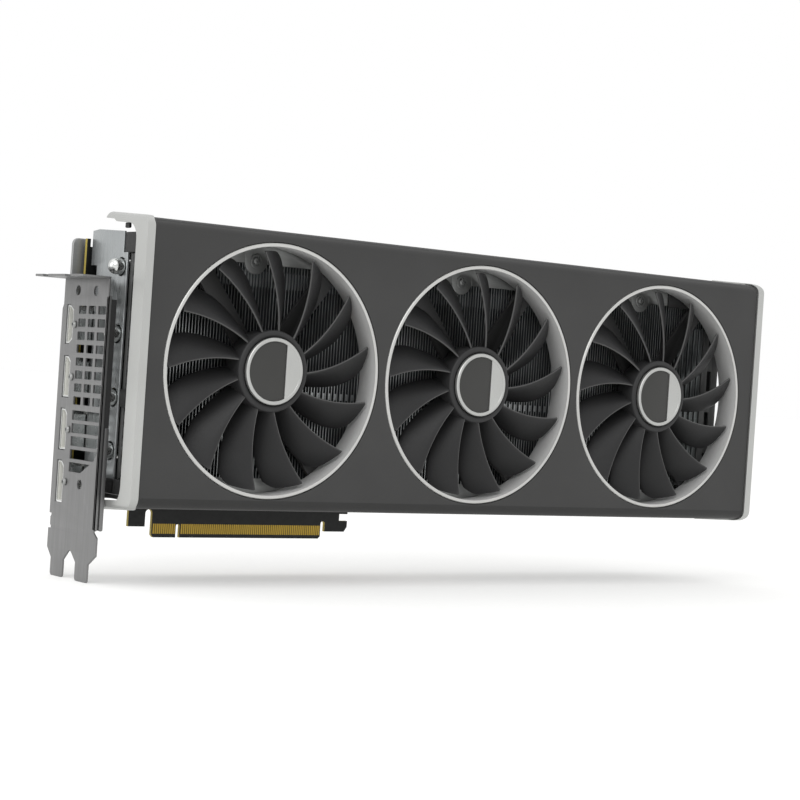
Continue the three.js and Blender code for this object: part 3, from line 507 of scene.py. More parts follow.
def end_frame(node, name, outer_side):
    """A front strip that wraps the panel's corners, with an arm above and one below."""
    low, high = box_mm(node)
    f = FRAME
    top, bottom, front, arm_end = HEIGHT + f["gap"], -f["gap"], low.y, high.y
    x0, x1 = (low.x, -f["gap"]) if outer_side < 0 else (LENGTH + f["gap"], high.x)
    upper, lower = top - f["upper_arm"], bottom + f["lower_arm"]
    low_depth, low_height = f["lower_corner"]
    up = f["upper_corner"]
    roll_depth, roll_height = UPPER_ROLL
    under_depth, under_height = LOWER_ROLL
    section = ([(arm_end, bottom + 0.8), (arm_end - 0.6, lower)]
               + arc(f["strip_back"] + low_depth, lower + low_height, low_depth, 270, 180, 10,
                     low_height)
               + arc(f["strip_back"] + up, upper - up, up, 180, 90, 10)
               + [(f["tip_start"], upper), (f["tip_start"] + 2, top - f["tip"]),
                  (arm_end, top - f["tip"]), (arm_end - 1.5, top)]
               + arc(roll_depth, HEIGHT - roll_height, roll_depth - front, 90, 180, 12,
                     roll_height + f["gap"])
               + arc(under_depth, under_height, under_depth - front, 180, 270, 12,
                     under_height + f["gap"])
               + [(arm_end - 0.6, bottom)])
    u0, u1 = (x0, x1 + f["wrap"]) if outer_side < 0 else (x0 - f["wrap"], x1)
    reach = f["corner"] * 3
    face0, face1 = (x0, x1 + reach) if outer_side < 0 else (x0 - reach, x1)
    solid = prism(section, SIDE_VIEW, u0, u1)
    strip, near, far = f["strip_back"], front - 1, arm_end + 1
    plan = [(x0, near), (u1, near), (u1, strip), (x1, strip), (x1, far), (x0, far)]
    if outer_side > 0:
        plan = [(x1, near), (x1, far), (x0, far), (x0, strip), (u0, strip), (u0, near)]
    solid = combined(solid, prism(plan, TOP_VIEW, bottom - 1, top + 1), "INTERSECT")
    face = prism(rounded(face0, face1, bottom, top, f["corner"], 12), FRONT_VIEW, -far, -near)
    solid = combined(solid, face, "INTERSECT")
    panel_prism = prism(grown_panel(f["gap"]), FRONT_VIEW, -far, -near)
    solid = combined(solid, panel_prism, "DIFFERENCE")
    holder = linked("frame", solid)
    edge_bevel(holder, f["edge"])
    shaped = applied(holder)
    middle = HEIGHT / 2
    per_mm = f["flare"] / (top - middle) / (arm_end - front)
    for vertex in shaped.vertices:
        growth = 1 + per_mm * (vertex.co.y - front)
        vertex.co.z = middle + (vertex.co.z - middle) * growth
    part = Part()
    part.take(shaped)
    part.make(name, ["silver"], stands_for=[node], angle=28)


# ---------------------------------------------------------------- fans


RING_RIM = 1.5


def fan_ring(number):
    low, high = RING_BOXES[number]
    outer = RING_RADIUS
    inner = outer - RING_RIM
    front, back = low.y, high.y
    profile = [
        (outer, back), (outer, front + 0.3), (outer - 0.3, front), (inner + 0.35, front),
        (inner + 0.1, front + 0.1), (inner, front + 0.35), (inner, back - 0.6), (inner + 0.4, back),
    ]
    # The outside and the duct wall take the darker copy: painted shade.
    finishes = [1, 0, 0, 0, 0, 1, 1, 1]
    part = Part()
    part.turned(profile, CENTRES[number], 128, finishes=finishes)
    part.make(f"ring_{number}", ["lip", "duct"], stands_for=[f"fan_ring_{number}"],
              angle=40)


# The hub's section: (radius, y).
HUB = (
    (13.6, 1.6), (14.2, 1.1), (14.6, 0.8), (15.7, 0.85), (16.25, 1.15), (16.5, 1.7), (16.5, 10.9),
    (16.3, 11.2), (15.2, 11.2), (15.2, 3.2),
)
BLADE = {
    "count": 13, "root": 15.6, "tip": 48.3, "lead_y": 1.9, "trail_y": 10.6, "thickness": 1.3,
    "thin": 0.12, "first": (-6.4, -8.9, -8.4), "sweep": 0.457, "chord": 17.3, "tip_chord": 15.0,
    "taper_from": 38.0, "camber": 1.15, "radial": 26, "across": 12, "corner": 3.4,
    "corner_from": 0.7, "nose": 0.5, "nose_to": 0.08,
}


def blade_point(first, along, across, side):
    """A point of the blade whose lead starts at the angle first, in degrees."""
    b = BLADE
    into_corner = max(0.0, (across - b["corner_from"]) / (1 - b["corner_from"]))
    into_nose = max(0.0, (b["nose_to"] - across) / b["nose_to"])
    cut = into_corner ** 2 * b["corner"] + into_nose ** 2 * b["nose"]
    radius = b["root"] + (b["tip"] - cut - b["root"]) * along
    taper = max(0.0, (radius - b["taper_from"]) / (b["tip"] - b["taper_from"]))
    width = math.radians(b["chord"] + (b["tip_chord"] - b["chord"]) * taper)
    lead = math.radians(first + b["sweep"] * radius)
    pitch = math.atan2(b["trail_y"] - b["lead_y"], radius * width)
    full = math.sqrt(max(0.0, 1 - (2 * across - 1) ** 2)) ** 0.6
    half = side * b["thickness"] / 2 * (b["thin"] + (1 - b["thin"]) * full)
    angle = lead - width * across + half * math.sin(pitch) / radius
    y = b["lead_y"] + (b["trail_y"] - b["lead_y"]) * across ** b["camber"] + half * math.cos(pitch)
    return radius, angle, y


def fan_rotor(number):
    x, z = CENTRES[number]
    part = Part()
    part.turned(HUB, (x, z), closed=False)
    b = BLADE
    across_steps = [0.5 - 0.5 * math.cos(math.pi * j / b["across"])
                    for j in range(b["across"] + 1)]
    loop = [(a, 1) for a in across_steps] + [(a, -1) for a in reversed(across_steps)]
    # The two columns along the leading edge take the lighter copy: painted highlight.
    lead_columns = {len(loop) - 1, len(loop) - 2}
    finishes = [1 if i in lead_columns else 0 for i in range(len(loop))]
    for index in range(b["count"]):
        first = b["first"][number - 1] + index * 360 / b["count"]
        rings = []
        for i in range(b["radial"] + 1):
            along = math.sin(math.pi / 2 * i / b["radial"]) * 0.35 + 0.65 * i / b["radial"]
            ring = []
            for across, side in loop:
                radius, angle, y = blade_point(first, along, across, side)
                ring.append((x + radius * math.cos(angle), y, z + radius * math.sin(angle)))
            rings.append(ring)
        part.rings(rings, column_finishes=finishes)
    part.make(f"rotor_{number}", ["blade", "blade_edge_painted_highlight"], f"fan_{number}",
              [f"fan_rotor_{number}"], angle=50)


BADGE = {"rim": 1.5, "chord": 5.3, "gap": 0.2}


def half_disc(x, z, radius, chord, right, steps=64):
    """The part of a disc on one side of an upright chord."""
    a = math.degrees(math.acos(chord / radius))
    start, end = (-a, a) if right else (a, 360 - a)
    return arc(x, z, radius, start, end, steps)


def badge(number):
    x, z = CENTRES[number]
    low, high = box_mm(f"fan_badge_ring_{number}")
    outer = (high.x - low.x) / 2
    inner = outer - BADGE["rim"]
    part = Part()
    part.turned([(outer, high.y), (outer, low.y + 0.25), (outer - 0.25, low.y),
                 (inner + 0.2, low.y), (inner, low.y + 0.2), (inner, high.y)], (x, z))
    segment = half_disc(x, z, inner + 0.3, BADGE["chord"], True)
    part.plate_xz([segment], low.y + 0.1, high.y, 0.1)
    part.make(f"badge_ring_{number}", ["silver"], f"fan_{number}", [f"fan_badge_ring_{number}"],
              angle=30)
    low, high = box_mm(f"fan_badge_face_{number}")
    part = Part()
    face = half_disc(x, z, inner - 0.15, BADGE["chord"] - BADGE["gap"], False)
    part.plate_xz([face], low.y, high.y, 0.08)
    part.make(f"badge_disc_{number}", ["badge"], f"fan_{number}", [f"fan_badge_face_{number}"],
              angle=30)


# ---------------------------------------------------------------- cooler

# Crimps: (bottom, top, recess). The low row skips every second gap.
FIN = {
    "pitch": 1.45, "thickness": 0.34, "crimps": ((45.9, 48.6, 0.3), (90.2, 96.6, 1.2)),
    "crimp": 0.4, "low_row": 50,
}


def fin_stack(node, name):
    """Thin upright plates tied together by rows of folded tabs. The plates' dark metal is painted
    shade deep in the stack; their front edges and the tabs take a lighter copy, a painted highlight.
    """
    low, high = box_mm(node)
    pitch, thickness = FIN["pitch"], FIN["thickness"]
    part = Part()
    count = int((high.x - low.x - thickness) / pitch)
    for i in range(count + 1):
        x = low.x + i * pitch
        part.block(x, x + thickness, low.y, high.y, low.z, high.z)
    # Faces looking forward or back, the fins' front edges, take the lighter copy: painted highlight.
    # The folded tabs below take it too.
    part.refinish(lambda face: 1 if abs(face.normal.y) > 0.9 else 0)
    for i in range(count):
        x = low.x + i * pitch + thickness
        for bottom, top, recess in FIN["crimps"]:
            if bottom < FIN["low_row"] and i % 2:
                continue
            part.block(x - 0.1, x + pitch - thickness + 0.1, low.y + recess,
                       low.y + recess + FIN["crimp"], bottom, top, finish=1)
    part.make(name, ["fin", "fin_edge_painted_highlight"], stands_for=[node], angle=30)


# Each pipe's height at the ends and over the cold plate.
PIPE_PATHS = {1: (21, 38), 2: (42, 49), 3: (67, 60), 4: (93.5, 71)}
PIPE = {
    "y": 26.0, "bend_start": 78.0, "bend_end": 98.0, "return_start": 162.0, "return_end": 182.0,
    "dome_steps": 7, "tip": 0.35, "step": 2.5, "hole": 3.7,
}


def smooth(x, low, high):
    t = min(1.0, max(0.0, (x - low) / (high - low)))
    return t * t * (3 - 2 * t)


def heat_pipe(number):
    """A round pipe with a domed left end that bends in over the cold plate."""
    height, inner = PIPE_PATHS[number]
    low, high = box_mm(f"heat_pipe_{number}")
    radius = (high.y - low.y) / 2
    path, radii = [], []
    for k in range(PIPE["dome_steps"]):
        a = math.pi / 2 * k / PIPE["dome_steps"]
        path.append(Vector((low.x + radius * (1 - math.cos(a)), PIPE["y"], height)))
        radii.append(max(PIPE["tip"], radius * math.sin(a)))
    x = path[-1].x
    while x < high.x:
        into = smooth(x, PIPE["bend_start"], PIPE["bend_end"])
        out = smooth(x, PIPE["return_start"], PIPE["return_end"])
        path.append(Vector((x + 0.3, PIPE["y"], height + (inner - height) * (into - out))))
        radii.append(radius)
        x += PIPE["step"]
    part = Part()
    part.tube(path, radii, 28)
    part.make(f"pipe_{number}", ["nickel"], stands_for=[f"heat_pipe_{number}"],
              angle=40)


def end_plate():
    """The bright cover at the left of the fins, with a hole for each heat pipe."""
    low, high = box_mm("end_plate_left")
    upper_front, front_step, front_top, back, back_step = 25, 99.2, 107.6, 46, 94
    outline = [
        (low.y, low.z + 1), (low.y + 1, low.z), (back - 1, low.z), (back, low.z + 1),
        (back, back_step), (high.y, back_step), (high.y, high.z - 0.6), (high.y - 5, high.z),
        (upper_front, front_top), (upper_front, front_step), (low.y, front_step),
    ]
    holes = [circle(PIPE["y"], height, PIPE["hole"], 32) for height, _ in PIPE_PATHS.values()]
    part = Part()
    part.plate_yz([outline] + holes, low.x, high.x, 0.25)
    part.make("end_cover_left", ["plate"], stands_for=["end_plate_left"])


END_WALL = {"slots": 5, "first": 13, "pitch": 18.5, "height": 12, "front": 20, "back": 46}
END_FLANGE = {
    "left": 313.4, "right": 324.0, "bottom": 12.8, "top": 98.9, "front": 15.1, "back": 16.1,
    "slot_left": 316.9, "slot_right": 319.9, "slots": ((19, 5), (44, 6.4), (60.4, 9.6), (78, 8)),
    "hole": (318.0, 30.0, 1.1),
}
FLOW_BARS = {"count": 5, "left": 296.6, "pitch": 3.4, "width": 2.3, "bottom": 14, "top": 90}


def end_wall():
    """The slotted black wall inside the right end frame, with a flange beside the last fan."""
    low, high = box_mm("end_wall_right")
    w = END_WALL
    slots = []
    for i in range(w["slots"]):
        z = w["first"] + i * w["pitch"]
        slots.append(rounded(w["front"], w["back"], z, z + w["height"], 1.6, 4))
    part = Part()
    part.plate_yz([rounded(low.y, high.y, low.z, high.z, 1.5, 4)] + slots, low.x, high.x)
    part.make("end_grille_right", ["black"], stands_for=["end_wall_right"])
    part = Part()
    f = END_FLANGE
    slots = [rounded(f["slot_left"], f["slot_right"], z, z + height, 0.5, 3)
             for z, height in f["slots"]]
    slots.append(circle(*f["hole"], 16))
    outline = rounded(f["left"], f["right"], f["bottom"], f["top"], 0.6, 3)
    part.plate_xz([outline] + slots, f["front"], f["back"], 0.15)
    part.make("end_flange_right", ["flange"])
    part = Part()
    part.plate_xz([rounded(286.8, 322, 98.6, 110.2, 0.6, 3)], 13.4, 14.2)
    part.make("end_cover_right", ["black"])
    part = Part()
    for i in range(FLOW_BARS["count"]):
        x = FLOW_BARS["left"] + FLOW_BARS["pitch"] * i
        bar = rounded(x, x + FLOW_BARS["width"], FLOW_BARS["bottom"], FLOW_BARS["top"], 1.1)
        part.plate_xz([bar], 15.2, 16.1, 0.3)
    # The bars share the fin metal, whose dark colour is painted shade.
    part.make("flow_bars", ["fin"])


RAIL = {"bottom": 99.3, "tab_z": 100.4, "tab": 5.4, "hole": 1.3, "boss": 2.9, "boss_hole": 1.9}
TABS = [CENTRES[number][0] - 3 for number in FAN_NUMBERS]


def rails():
    """The light strips above and below the fins, with a screw tab for each fan."""
    low, high = box_mm("upper_rail")
    r = RAIL
    outline = [(low.x, high.z), (low.x, r["bottom"])]
    for x in TABS:
        outline += ([(x - r["tab"], r["bottom"])] + arc(x, r["tab_z"], r["tab"], 180, 360, 20)
                    + [(x + r["tab"], r["bottom"])])
    outline += [(high.x, r["bottom"]), (high.x, high.z)]
    part = Part()
    holes = [circle(x, r["tab_z"], r["hole"], 20) for x in TABS]
    part.plate_xz([outline] + holes, low.y, high.y, 0.25)
    for x in TABS:
        part.turned([(r["boss"], low.y), (r["boss"], low.y - 0.4), (r["boss"] - 0.2, low.y - 0.6),
                     (r["boss_hole"], low.y - 0.6), (r["boss_hole"], low.y)], (x, r["tab_z"]), 40)
    part.make("rail_upper", ["rail"], stands_for=["upper_rail"], angle=30)
    part = Part()
    for x in TABS:
        screw_head(part, x, low.y + 0.1, r["tab_z"], 1.6, -1)
    part.make("rail_screws", ["rail"], angle=30)
    low, high = box_mm("lower_rail")
    part = Part()
    part.plate_xz([rounded(low.x, high.x, low.z, high.z, 1, 3)], low.y, high.y, 0.25)
    part.make("rail_lower", ["rail"], stands_for=["lower_rail"])


def screw_head(part, x, y, z, radius, facing):
    """A domed screw head with a round recess, facing along Y (-1 is the fan side)."""
    profile = [(1, 0), (1, 0.35), (0.85, 0.75), (0.5, 1.0), (0.34, 1.05), (0.22, 0.45)]
    part.turned([(radius * r, y + facing * h) for r, h in profile], (x, z), 32, closed=False)


# ---------------------------------------------------------------- circuit board

EDGE = {
    "left": 37.4, "right": 122.6, "bottom": -15.64, "key_left": 49.05, "key_width": 1.9,
    "key_top": -9.95, "slot_width": 2.2, "slot_top": -8.0, "chamfer": 1.0, "tab_left": 26.2,
    "tab_right": 34.1, "tab_bottom": -11.2, "tab_gap_top": -4.0, "hook_right": 136.8,
    "hook_bottom": -12.5, "hook_top": -7.7, "hook_neck": 132.4, "hook_neck_top": -4.7,
    "hook_cut": (1.5, 2.1), "shoulder": 3.0, "top": 101.6, "left_tab": 0.7,
}


def board_outline(low, high):
    e = EDGE
    key = e["key_width"] / 2
    slot = e["slot_width"] / 2
    gap = (e["left"] - e["tab_right"]) / 2
    return (
        [(low.x, e["shoulder"]), (e["tab_left"], e["shoulder"]), (e["tab_left"], e["tab_bottom"]),
         (e["tab_right"], e["tab_bottom"])]
        + arc(e["tab_right"] + gap, e["tab_gap_top"] - gap, gap, 180, 0, 10)
        + [(e["left"], e["bottom"] + e["chamfer"]), (e["left"] + e["chamfer"], e["bottom"]),
           (e["key_left"], e["bottom"])]
        + arc(e["key_left"] + key, e["key_top"] - key, key, 180, 0, 10)
        + [(e["key_left"] + 2 * key, e["bottom"]), (e["right"] - e["chamfer"], e["bottom"]),
           (e["right"], e["bottom"] + e["chamfer"])]
        + arc(e["right"] + slot, e["slot_top"] - slot, slot, 180, 0, 10)
        + [(e["right"] + 2 * slot, e["hook_bottom"]),
           (e["hook_right"] - e["hook_cut"][0], e["hook_bottom"]),
           (e["hook_right"], e["hook_bottom"] + e["hook_cut"][1]), (e["hook_right"], e["hook_top"]),
           (e["hook_neck"], e["hook_top"]), (e["hook_neck"], e["hook_neck_top"]),
           (e["hook_right"], e["hook_neck_top"]), (e["hook_right"], e["shoulder"]),
           (high.x, e["shoulder"]), (high.x, e["top"]), (e["left_tab"], e["top"]),
           (e["left_tab"], high.z), (low.x, high.z)]
    )


def board():
    """The board: olive laminate with a black mask on each side, and its gold fingers."""
    low, high = box_mm("circuit_board")
    part = Part()
    part.plate_xz([board_outline(low, high)], low.y, high.y, 0.03, steps=0)
    part.refinish(lambda face: 0 if abs(face.normal.y) > 0.5 else 1)
    part.make("board", ["mask", "laminate"], stands_for=["circuit_board"], angle=30)
    part = Part()
    width, pitch, top, bottom = 0.7, 1.0, EDGE["key_top"], -14.1
    for y0, y1 in ((low.y - 0.05, low.y + 0.02), (high.y - 0.02, high.y + 0.05)):
        for start, end in ((EDGE["left"], EDGE["key_left"]),
                           (EDGE["key_left"] + EDGE["key_width"], EDGE["right"])):
            x = start + 0.55
            while x + width < end - 0.2:
                part.block(x, x + width, y0, y1, bottom, top)
                x += pitch
    part.make("contact_fingers", ["gold"], stands_for=["contacts_short", "contacts_long"],
              angle=30)


CAPACITOR = {"count": 9, "left": 176, "pitch": 9.6, "z": 80}
SMALL_PARTS = {"count": 70, "x": (20, 255), "z": (8, 30), "length": 1.6, "height": 0.8}


def board_parts():
    """A row of capacitors, and small parts scattered along the board's lower edge."""
    face = box_mm("circuit_board")[0].y
    c, s = CAPACITOR, SMALL_PARTS
    part = Part()
    for i in range(c["count"]):
        part.turned([(0.01, face - 7.0), (2.9, face - 7.0), (3.2, face - 6.7), (3.2, face - 0.8),
                     (3.0, face - 0.5), (3.0, face - 0.31), (0.01, face - 0.31)],
                    (c["left"] + i * c["pitch"], c["z"]), 28)
    part.make("capacitors", ["nickel"], angle=30)
    part = Part()
    source = random.Random(7)
    for i in range(s["count"]):
        x = source.uniform(*s["x"])
        z = source.uniform(*s["z"])
        part.block(x, x + s["length"], face - 0.6, face - 0.05, z, z + s["height"])
    part.make("small_parts", ["laminate"], angle=30, bevel=0.06)


# ---------------------------------------------------------------- backplate


REAR = {
    "vents": 5, "vent_left": 276, "vent_pitch": 9.2, "vent_width": 5.4, "vent_z": (16, 96),
    "window": (130, 56), "window_half": 19, "top": 101.6, "tab": 0.7, "corner": 2.4,
    "screws_x": (12, 96, 180, 264), "screws_z": (95, 8), "screw": 2.3, "clamp_screws": 10.5,
}


def backplate():
    """The rear plate with its vents and the window over the clamp, eight screws around it and
    four on the clamp."""
    low, high = box_mm("backplate")
    r = REAR
    holes = []
    for i in range(r["vents"]):
        x = r["vent_left"] + i * r["vent_pitch"]
        holes.append(rounded(x, x + r["vent_width"], *r["vent_z"], 2))
    (cx, cz), half = r["window"], r["window_half"]
    window = [(cx + half * u, cz + half * v)
              for u, v in ((-1, -0.5), (-0.5, -1), (0.5, -1), (1, -0.5),
                           (1, 0.5), (0.5, 1), (-0.5, 1), (-1, 0.5))]
    top, tab, corner = r["top"], r["tab"], r["corner"]
    outline = (arc(low.x + 1, low.z + 1, 1, 180, 270, 4)
               + arc(high.x - corner, low.z + corner, corner, 270, 360, 6)
               + arc(high.x - corner, top - corner, corner, 0, 90, 6)
               + [(tab, top), (tab, high.z)]
               + arc(low.x + corner, high.z - corner, corner, 90, 180, 6))
    part = Part()
    part.plate_xz([outline, window] + holes, low.y, high.y, 0.35)
    part.make("rear_plate", ["back"], stands_for=["backplate"], angle=30)
    part = Part()
    for x in r["screws_x"]:
        for z in r["screws_z"]:
            screw_head(part, x, high.y - 0.35, z, r["screw"], 1)
    face = box_mm("clamp_cross")[1].y
    reach = r["clamp_screws"]
    for dx in (-reach, reach):
        for dz in (-reach, reach):
            part.turned([(2.4, face - 0.02), (2.4, face + 0.7), (2.1, face + 0.95),
                         (0.9, face + 0.95), (0.8, face + 0.4), (0.01, face + 0.4),
                         (0.01, face - 0.02)], (cx + dx, cz + dz), 32)
    part.make("rear_screws", ["nickel"], angle=30)


# ---------------------------------------------------------------- slot bracket

BRACKET = {
    "upper_front": 18.9, "upper_back": 54.9, "step_z": 78, "step_back": 55.9, "step_slope": 2,
    "front_step": (-10.8, -12.8), "lower_front": 16.2, "lower_back": 56.2, "shoulder_z": -19.8,
    "neck_z": -23.7, "tongue_corner": 1.4, "tongues": ((22, 32), (42.3, 52.5)), "apex_z": -19.5,
    "thickness": 0.86, "corner": 0.5, "hole": 1.95,
    "holes": ((43.5, 83.4), (28.9, 83.3), (32.6, 6.9)),
    "back_notches": ((56.2, -12.2), (54.2, -12.2), (54.2, -11.3), (54.9, -10.7), (54.9, -7.6),
                     (54.2, -7.0), (54.2, -6.2), (55.9, -6.2)),
}
TAB = {"back": 57.2, "slots": (47.5, 28.9), "slot_half": 2.2, "slot_depth": 5.2, "corner": 1.2}
FLANGE = {"outer": 1.7, "inner": (2.5, 4.2), "bottom": -10.3, "seam": 30, "top": 81.5}
VENT = {
    "columns": ((20.1, 26.4), (28.2, 34.1), (35.9, 42.1)), "top": 77.3, "hole": 3.2, "pitch": 5.15,
    "rows": 8, "slots": 6, "slot_top": 35.7, "slot": 3.7, "cut_front": 17.9, "cut_back": 6.4,
}
PORT = {
    "centre": 49.2, "display_z": (48.9, 27.9, 7.1), "hdmi_z": 69.8, "clearance": 0.3,
    "display": (16.2, 5.1, 2.0), "hdmi": (15.2, 5.3, 1.7), "shell": 0.5,
    "display_tongue": (11.5, 0.9), "hdmi_tongue": (10.6, 0.9),
}


def bracket_outline(low, high):
    b = BRACKET
    corner, bottom = b["tongue_corner"], low.z
    points = [
        (b["upper_front"], high.z - b["corner"]), (b["upper_front"], b["front_step"][0]),
        (b["lower_front"], b["front_step"][1]), (b["lower_front"], b["shoulder_z"]),
    ]
    for i, (near, far) in enumerate(b["tongues"]):
        points += [(near, b["neck_z"])]
        points += arc(near + corner, bottom + corner, corner, 180, 270, 5)
        points += arc(far - corner, bottom + corner, corner, 270, 360, 5)
        points += [(far, b["neck_z"])]
        if i == 0:
            middle = (far + b["tongues"][1][0]) / 2
            points += [(middle - 1.2, b["apex_z"] - 0.5), (middle, b["apex_z"]),
                       (middle + 1.2, b["apex_z"] - 0.5)]
    points += [(b["lower_back"], b["shoulder_z"])] + list(b["back_notches"])
    points += [(b["step_back"], b["step_z"] - b["step_slope"]), (b["upper_back"], b["step_z"]),
               (b["upper_back"], high.z - b["corner"])]
    return points


def port_edges(z, margin, height, width):
    """The edges (y0, y1, z0, z1) of a port's opening, grown by the margin."""
    y, half_y, half_z = PORT["centre"], width / 2 + margin, height / 2 + margin
    return y - half_y, y + half_y, z - half_z, z + half_z


def display_loop(z, margin):
    height, width, cut = PORT["display"]
    y0, y1, z0, z1 = port_edges(z, margin, height, width)
    return [(y0, z0), (y1, z0), (y1, z1), (y0 + cut, z1), (y0, z1 - cut)]


def hdmi_loop(z, margin):
    height, width, cut = PORT["hdmi"]
    y0, y1, z0, z1 = port_edges(z, margin, height, width)
    middle = (y0 + y1) / 2
    return [(y0, z0 + cut), (middle, z0), (y1, z0), (y1, z1), (middle, z1), (y0, z1 - cut)]


def vent_loops():
    """Three columns of short vents, then long slots that a slanted edge shortens."""
    v = VENT
    loops = []
    for row in range(v["rows"]):
        top = v["top"] - row * v["pitch"]
        for y0, y1 in v["columns"]:
            loops.append(rounded(y0, y1, top - v["hole"], top, 0.4, 3))
    y0, y1 = v["columns"][0][0], v["columns"][-1][1]
    slope = (v["cut_back"] - v["cut_front"]) / (y1 - y0)
    for row in range(v["slots"]):
        top = v["slot_top"] - row * v["pitch"]
        bottom = top - v["slot"]
        near, far = (max(y0, y0 + (z - v["cut_front"]) / slope) for z in (bottom, top))
        if near <= y1 - 2:
            loops.append([(near, bottom), (y1, bottom), (y1, top), (far, top)])
    return loops


def bracket():
    """The steel slot bracket: its plate, the bent tab on top and the flange in front."""
    low, high = box_mm("slot_bracket")
    b = BRACKET
    thick = b["thickness"]
    left = box_mm("hdmi_port")[0].x - 0.3
    holes = [circle(y, z, b["hole"], 28) for y, z in b["holes"]]
    holes += [hdmi_loop(PORT["hdmi_z"], PORT["clearance"])]
    holes += [display_loop(z, PORT["clearance"]) for z in PORT["display_z"]]
    part = Part()
    part.plate_yz([bracket_outline(low, high)] + vent_loops() + holes, left, left + thick, 0.12)
    tab_end, front, back, corner = low.x, b["upper_front"], TAB["back"], TAB["corner"]
    half = TAB["slot_half"]
    outline = [(left + thick, front), (left + thick, back), (tab_end + corner, back),
               (tab_end, back - corner)]
    for y in TAB["slots"]:
        outline += ([(tab_end, y + half)]
                    + arc(tab_end + TAB["slot_depth"] - half, y, half, 90, -90, 10)
                    + [(tab_end, y - half)])
    outline += [(tab_end, front + corner), (tab_end + corner, front)]
    part.plate_xy([outline], high.z - thick, high.z, 0.12)
    f = FLANGE
    bottom, seam, top, rear = f["bottom"], f["seam"], f["top"], front + thick
    inner0, inner1 = left + f["inner"][0], left + f["inner"][1]
    part.plate_xz([rounded(left, left + f["outer"], bottom, top, 0.6, 3)], front, rear, 0.12)
    part.plate_xz([rounded(inner0, inner1, bottom, seam, 0.6, 3)], front + 0.1, rear, 0.12)
    # Black blocks in the flange's groove: painted shadow, a dark sheet where the groove lies in
    # shade.
    part.block(left + 1.6, left + 2.6, front + 0.5, rear, bottom + 0.3, seam, finish=1)
    part.block(left + 1.6, left + 4.1, front + 0.4, rear, seam, top - 1.4, finish=1)
    part.make("bracket", ["bracket", "black"], stands_for=["slot_bracket"],
              angle=30)


def port(node, name, loop_of, z, tongue):
    """A connector shell with a pale liner, a contact tongue and gold pins."""
    low, high = box_mm(node)
    start, end = low.x, high.x
    part = Part()
    part.plate_yz([loop_of(z, 0), loop_of(z, -PORT["shell"])], start, end - 1, 0.08)
    part.plate_yz([loop_of(z, -0.05)], end - 1.6, end, 0.08)
    liner = [loop_of(z, -PORT["shell"] - 0.02), loop_of(z, -PORT["shell"] - 0.22)]
    part.plate_yz(liner, start + 0.5, end - 1.2, 0.03, finish=1)
    length, thickness = tongue
    y = PORT["centre"] + 0.35
    part.plate_yz([rounded(y - thickness / 2, y + thickness / 2, z - length / 2, z + length / 2,
                           0.2, 3)], start + 2.2, end - 1.0, 0.12, finish=2)
    k = -length / 2 + 0.8
    while k < length / 2 - 0.5:
        part.block(start + 2.6, end - 1.6, y - thickness / 2 - 0.06, y - thickness / 2 + 0.02,
                   z + k - 0.12, z + k + 0.12, finish=3)
        k += 0.6
    part.make(name, ["nickel", "white", "black", "gold"], stands_for=[node],
              angle=30)


def jack_screws():
    """Small round-headed screws beside the ports, facing left."""
    profile = [(1, 0), (1, 0.2), (0.9, 0.5), (0.6, 0.8), (0.42, 0.88), (0.38, 0.3)]
    for number in (1, 2, 3, 4):
        low, high = box_mm(f"jack_screw_{number}")
        y, z = (low.y + high.y) / 2, (low.z + high.z) / 2
        radius = (high.y - low.y) / 2
        part = Part()
        part.rings([[(high.x - h, y + radius * r * math.cos(a), z + radius * r * math.sin(a))
                     for a in turns(24)] for r, h in profile])
        part.make(f"port_screw_{number}", ["rail"], stands_for=[f"jack_screw_{number}"],
                  angle=35)


# ---------------------------------------------------------------- left end details


# Each block's corner radius and edge, then its x, y and z from and to.
END_BLOCKS = (
    (0.8, 0.3, (0.9, 8), (9, 24.5), (99.1, 107.2)),
    (0.8, 0.3, (-0.2, 3.5), (9, 21.2), (4.4, 10.2)),
    (0.8, 0.2, (-0.2, 0.5), (20, 27.5), (4.4, 10.2)),
    (0.6, 0.2, (-0.1, 0.6), (8, 30), (2.6, 4.2)),
    (0.5, 0.2, (-0.6, 0.5), (19.6, 22.8), (108.6, 110.7)),
    (0.8, 0.3, (0.8, 3.4), (9.5, 21.3), (38.5, 45.5)),
)
# Each strip's look, front, back and left side.
END_STRIPS = (("gloss", 8.8, 12.4, 1.0), ("blade", 13.2, 16.0, 1.4), ("gloss", 16.6, 18.6, 1.6),
              ("flange", 19.2, 21.2, 1.8))
STRIP = {"bottom": 10.4, "top": 99, "right": 3.6}


def left_end():
    """Dark plastic blocks and strips between the end cover and the silver frame."""
    part = Part()
    for corner, edge, (x0, x1), (y0, y1), (z0, z1) in END_BLOCKS:
        part.plate_yz([rounded(y0, y1, z0, z1, corner, 4)], x0, x1, edge)
    part.make("end_blocks", ["black"])
    for number, (look, y0, y1, x0) in enumerate(END_STRIPS, 1):
        part = Part()
        outline = rounded(y0, y1, STRIP["bottom"], STRIP["top"], 0.5, 4)
        part.plate_yz([outline], x0, STRIP["right"], 0.25)
        part.make(f"end_strip_{number}", [look])


# ---------------------------------------------------------------- pieces kept from CAD

KEPT = {
    "black": ["fan_frame_1", "fan_frame_2", "fan_frame_3", "power_socket_1", "power_socket_2",
              "switch_body"],
    "copper": ["fan_stator_1", "fan_stator_2", "fan_stator_3", "cold_plate"],
    "chip": ["processor_package", "memory_chip_1", "memory_chip_2", "memory_chip_3",
             "memory_chip_4"],
    "nickel": ["processor_die", "clamp_cross"],
    "choke": ["choke_1", "choke_2"],
    "lip": ["switch_knob"],
}
SOFTENING = {"switch_knob": 0.12, "power_socket_1": 0.15, "power_socket_2": 0.15,
             "switch_body": 0.15}


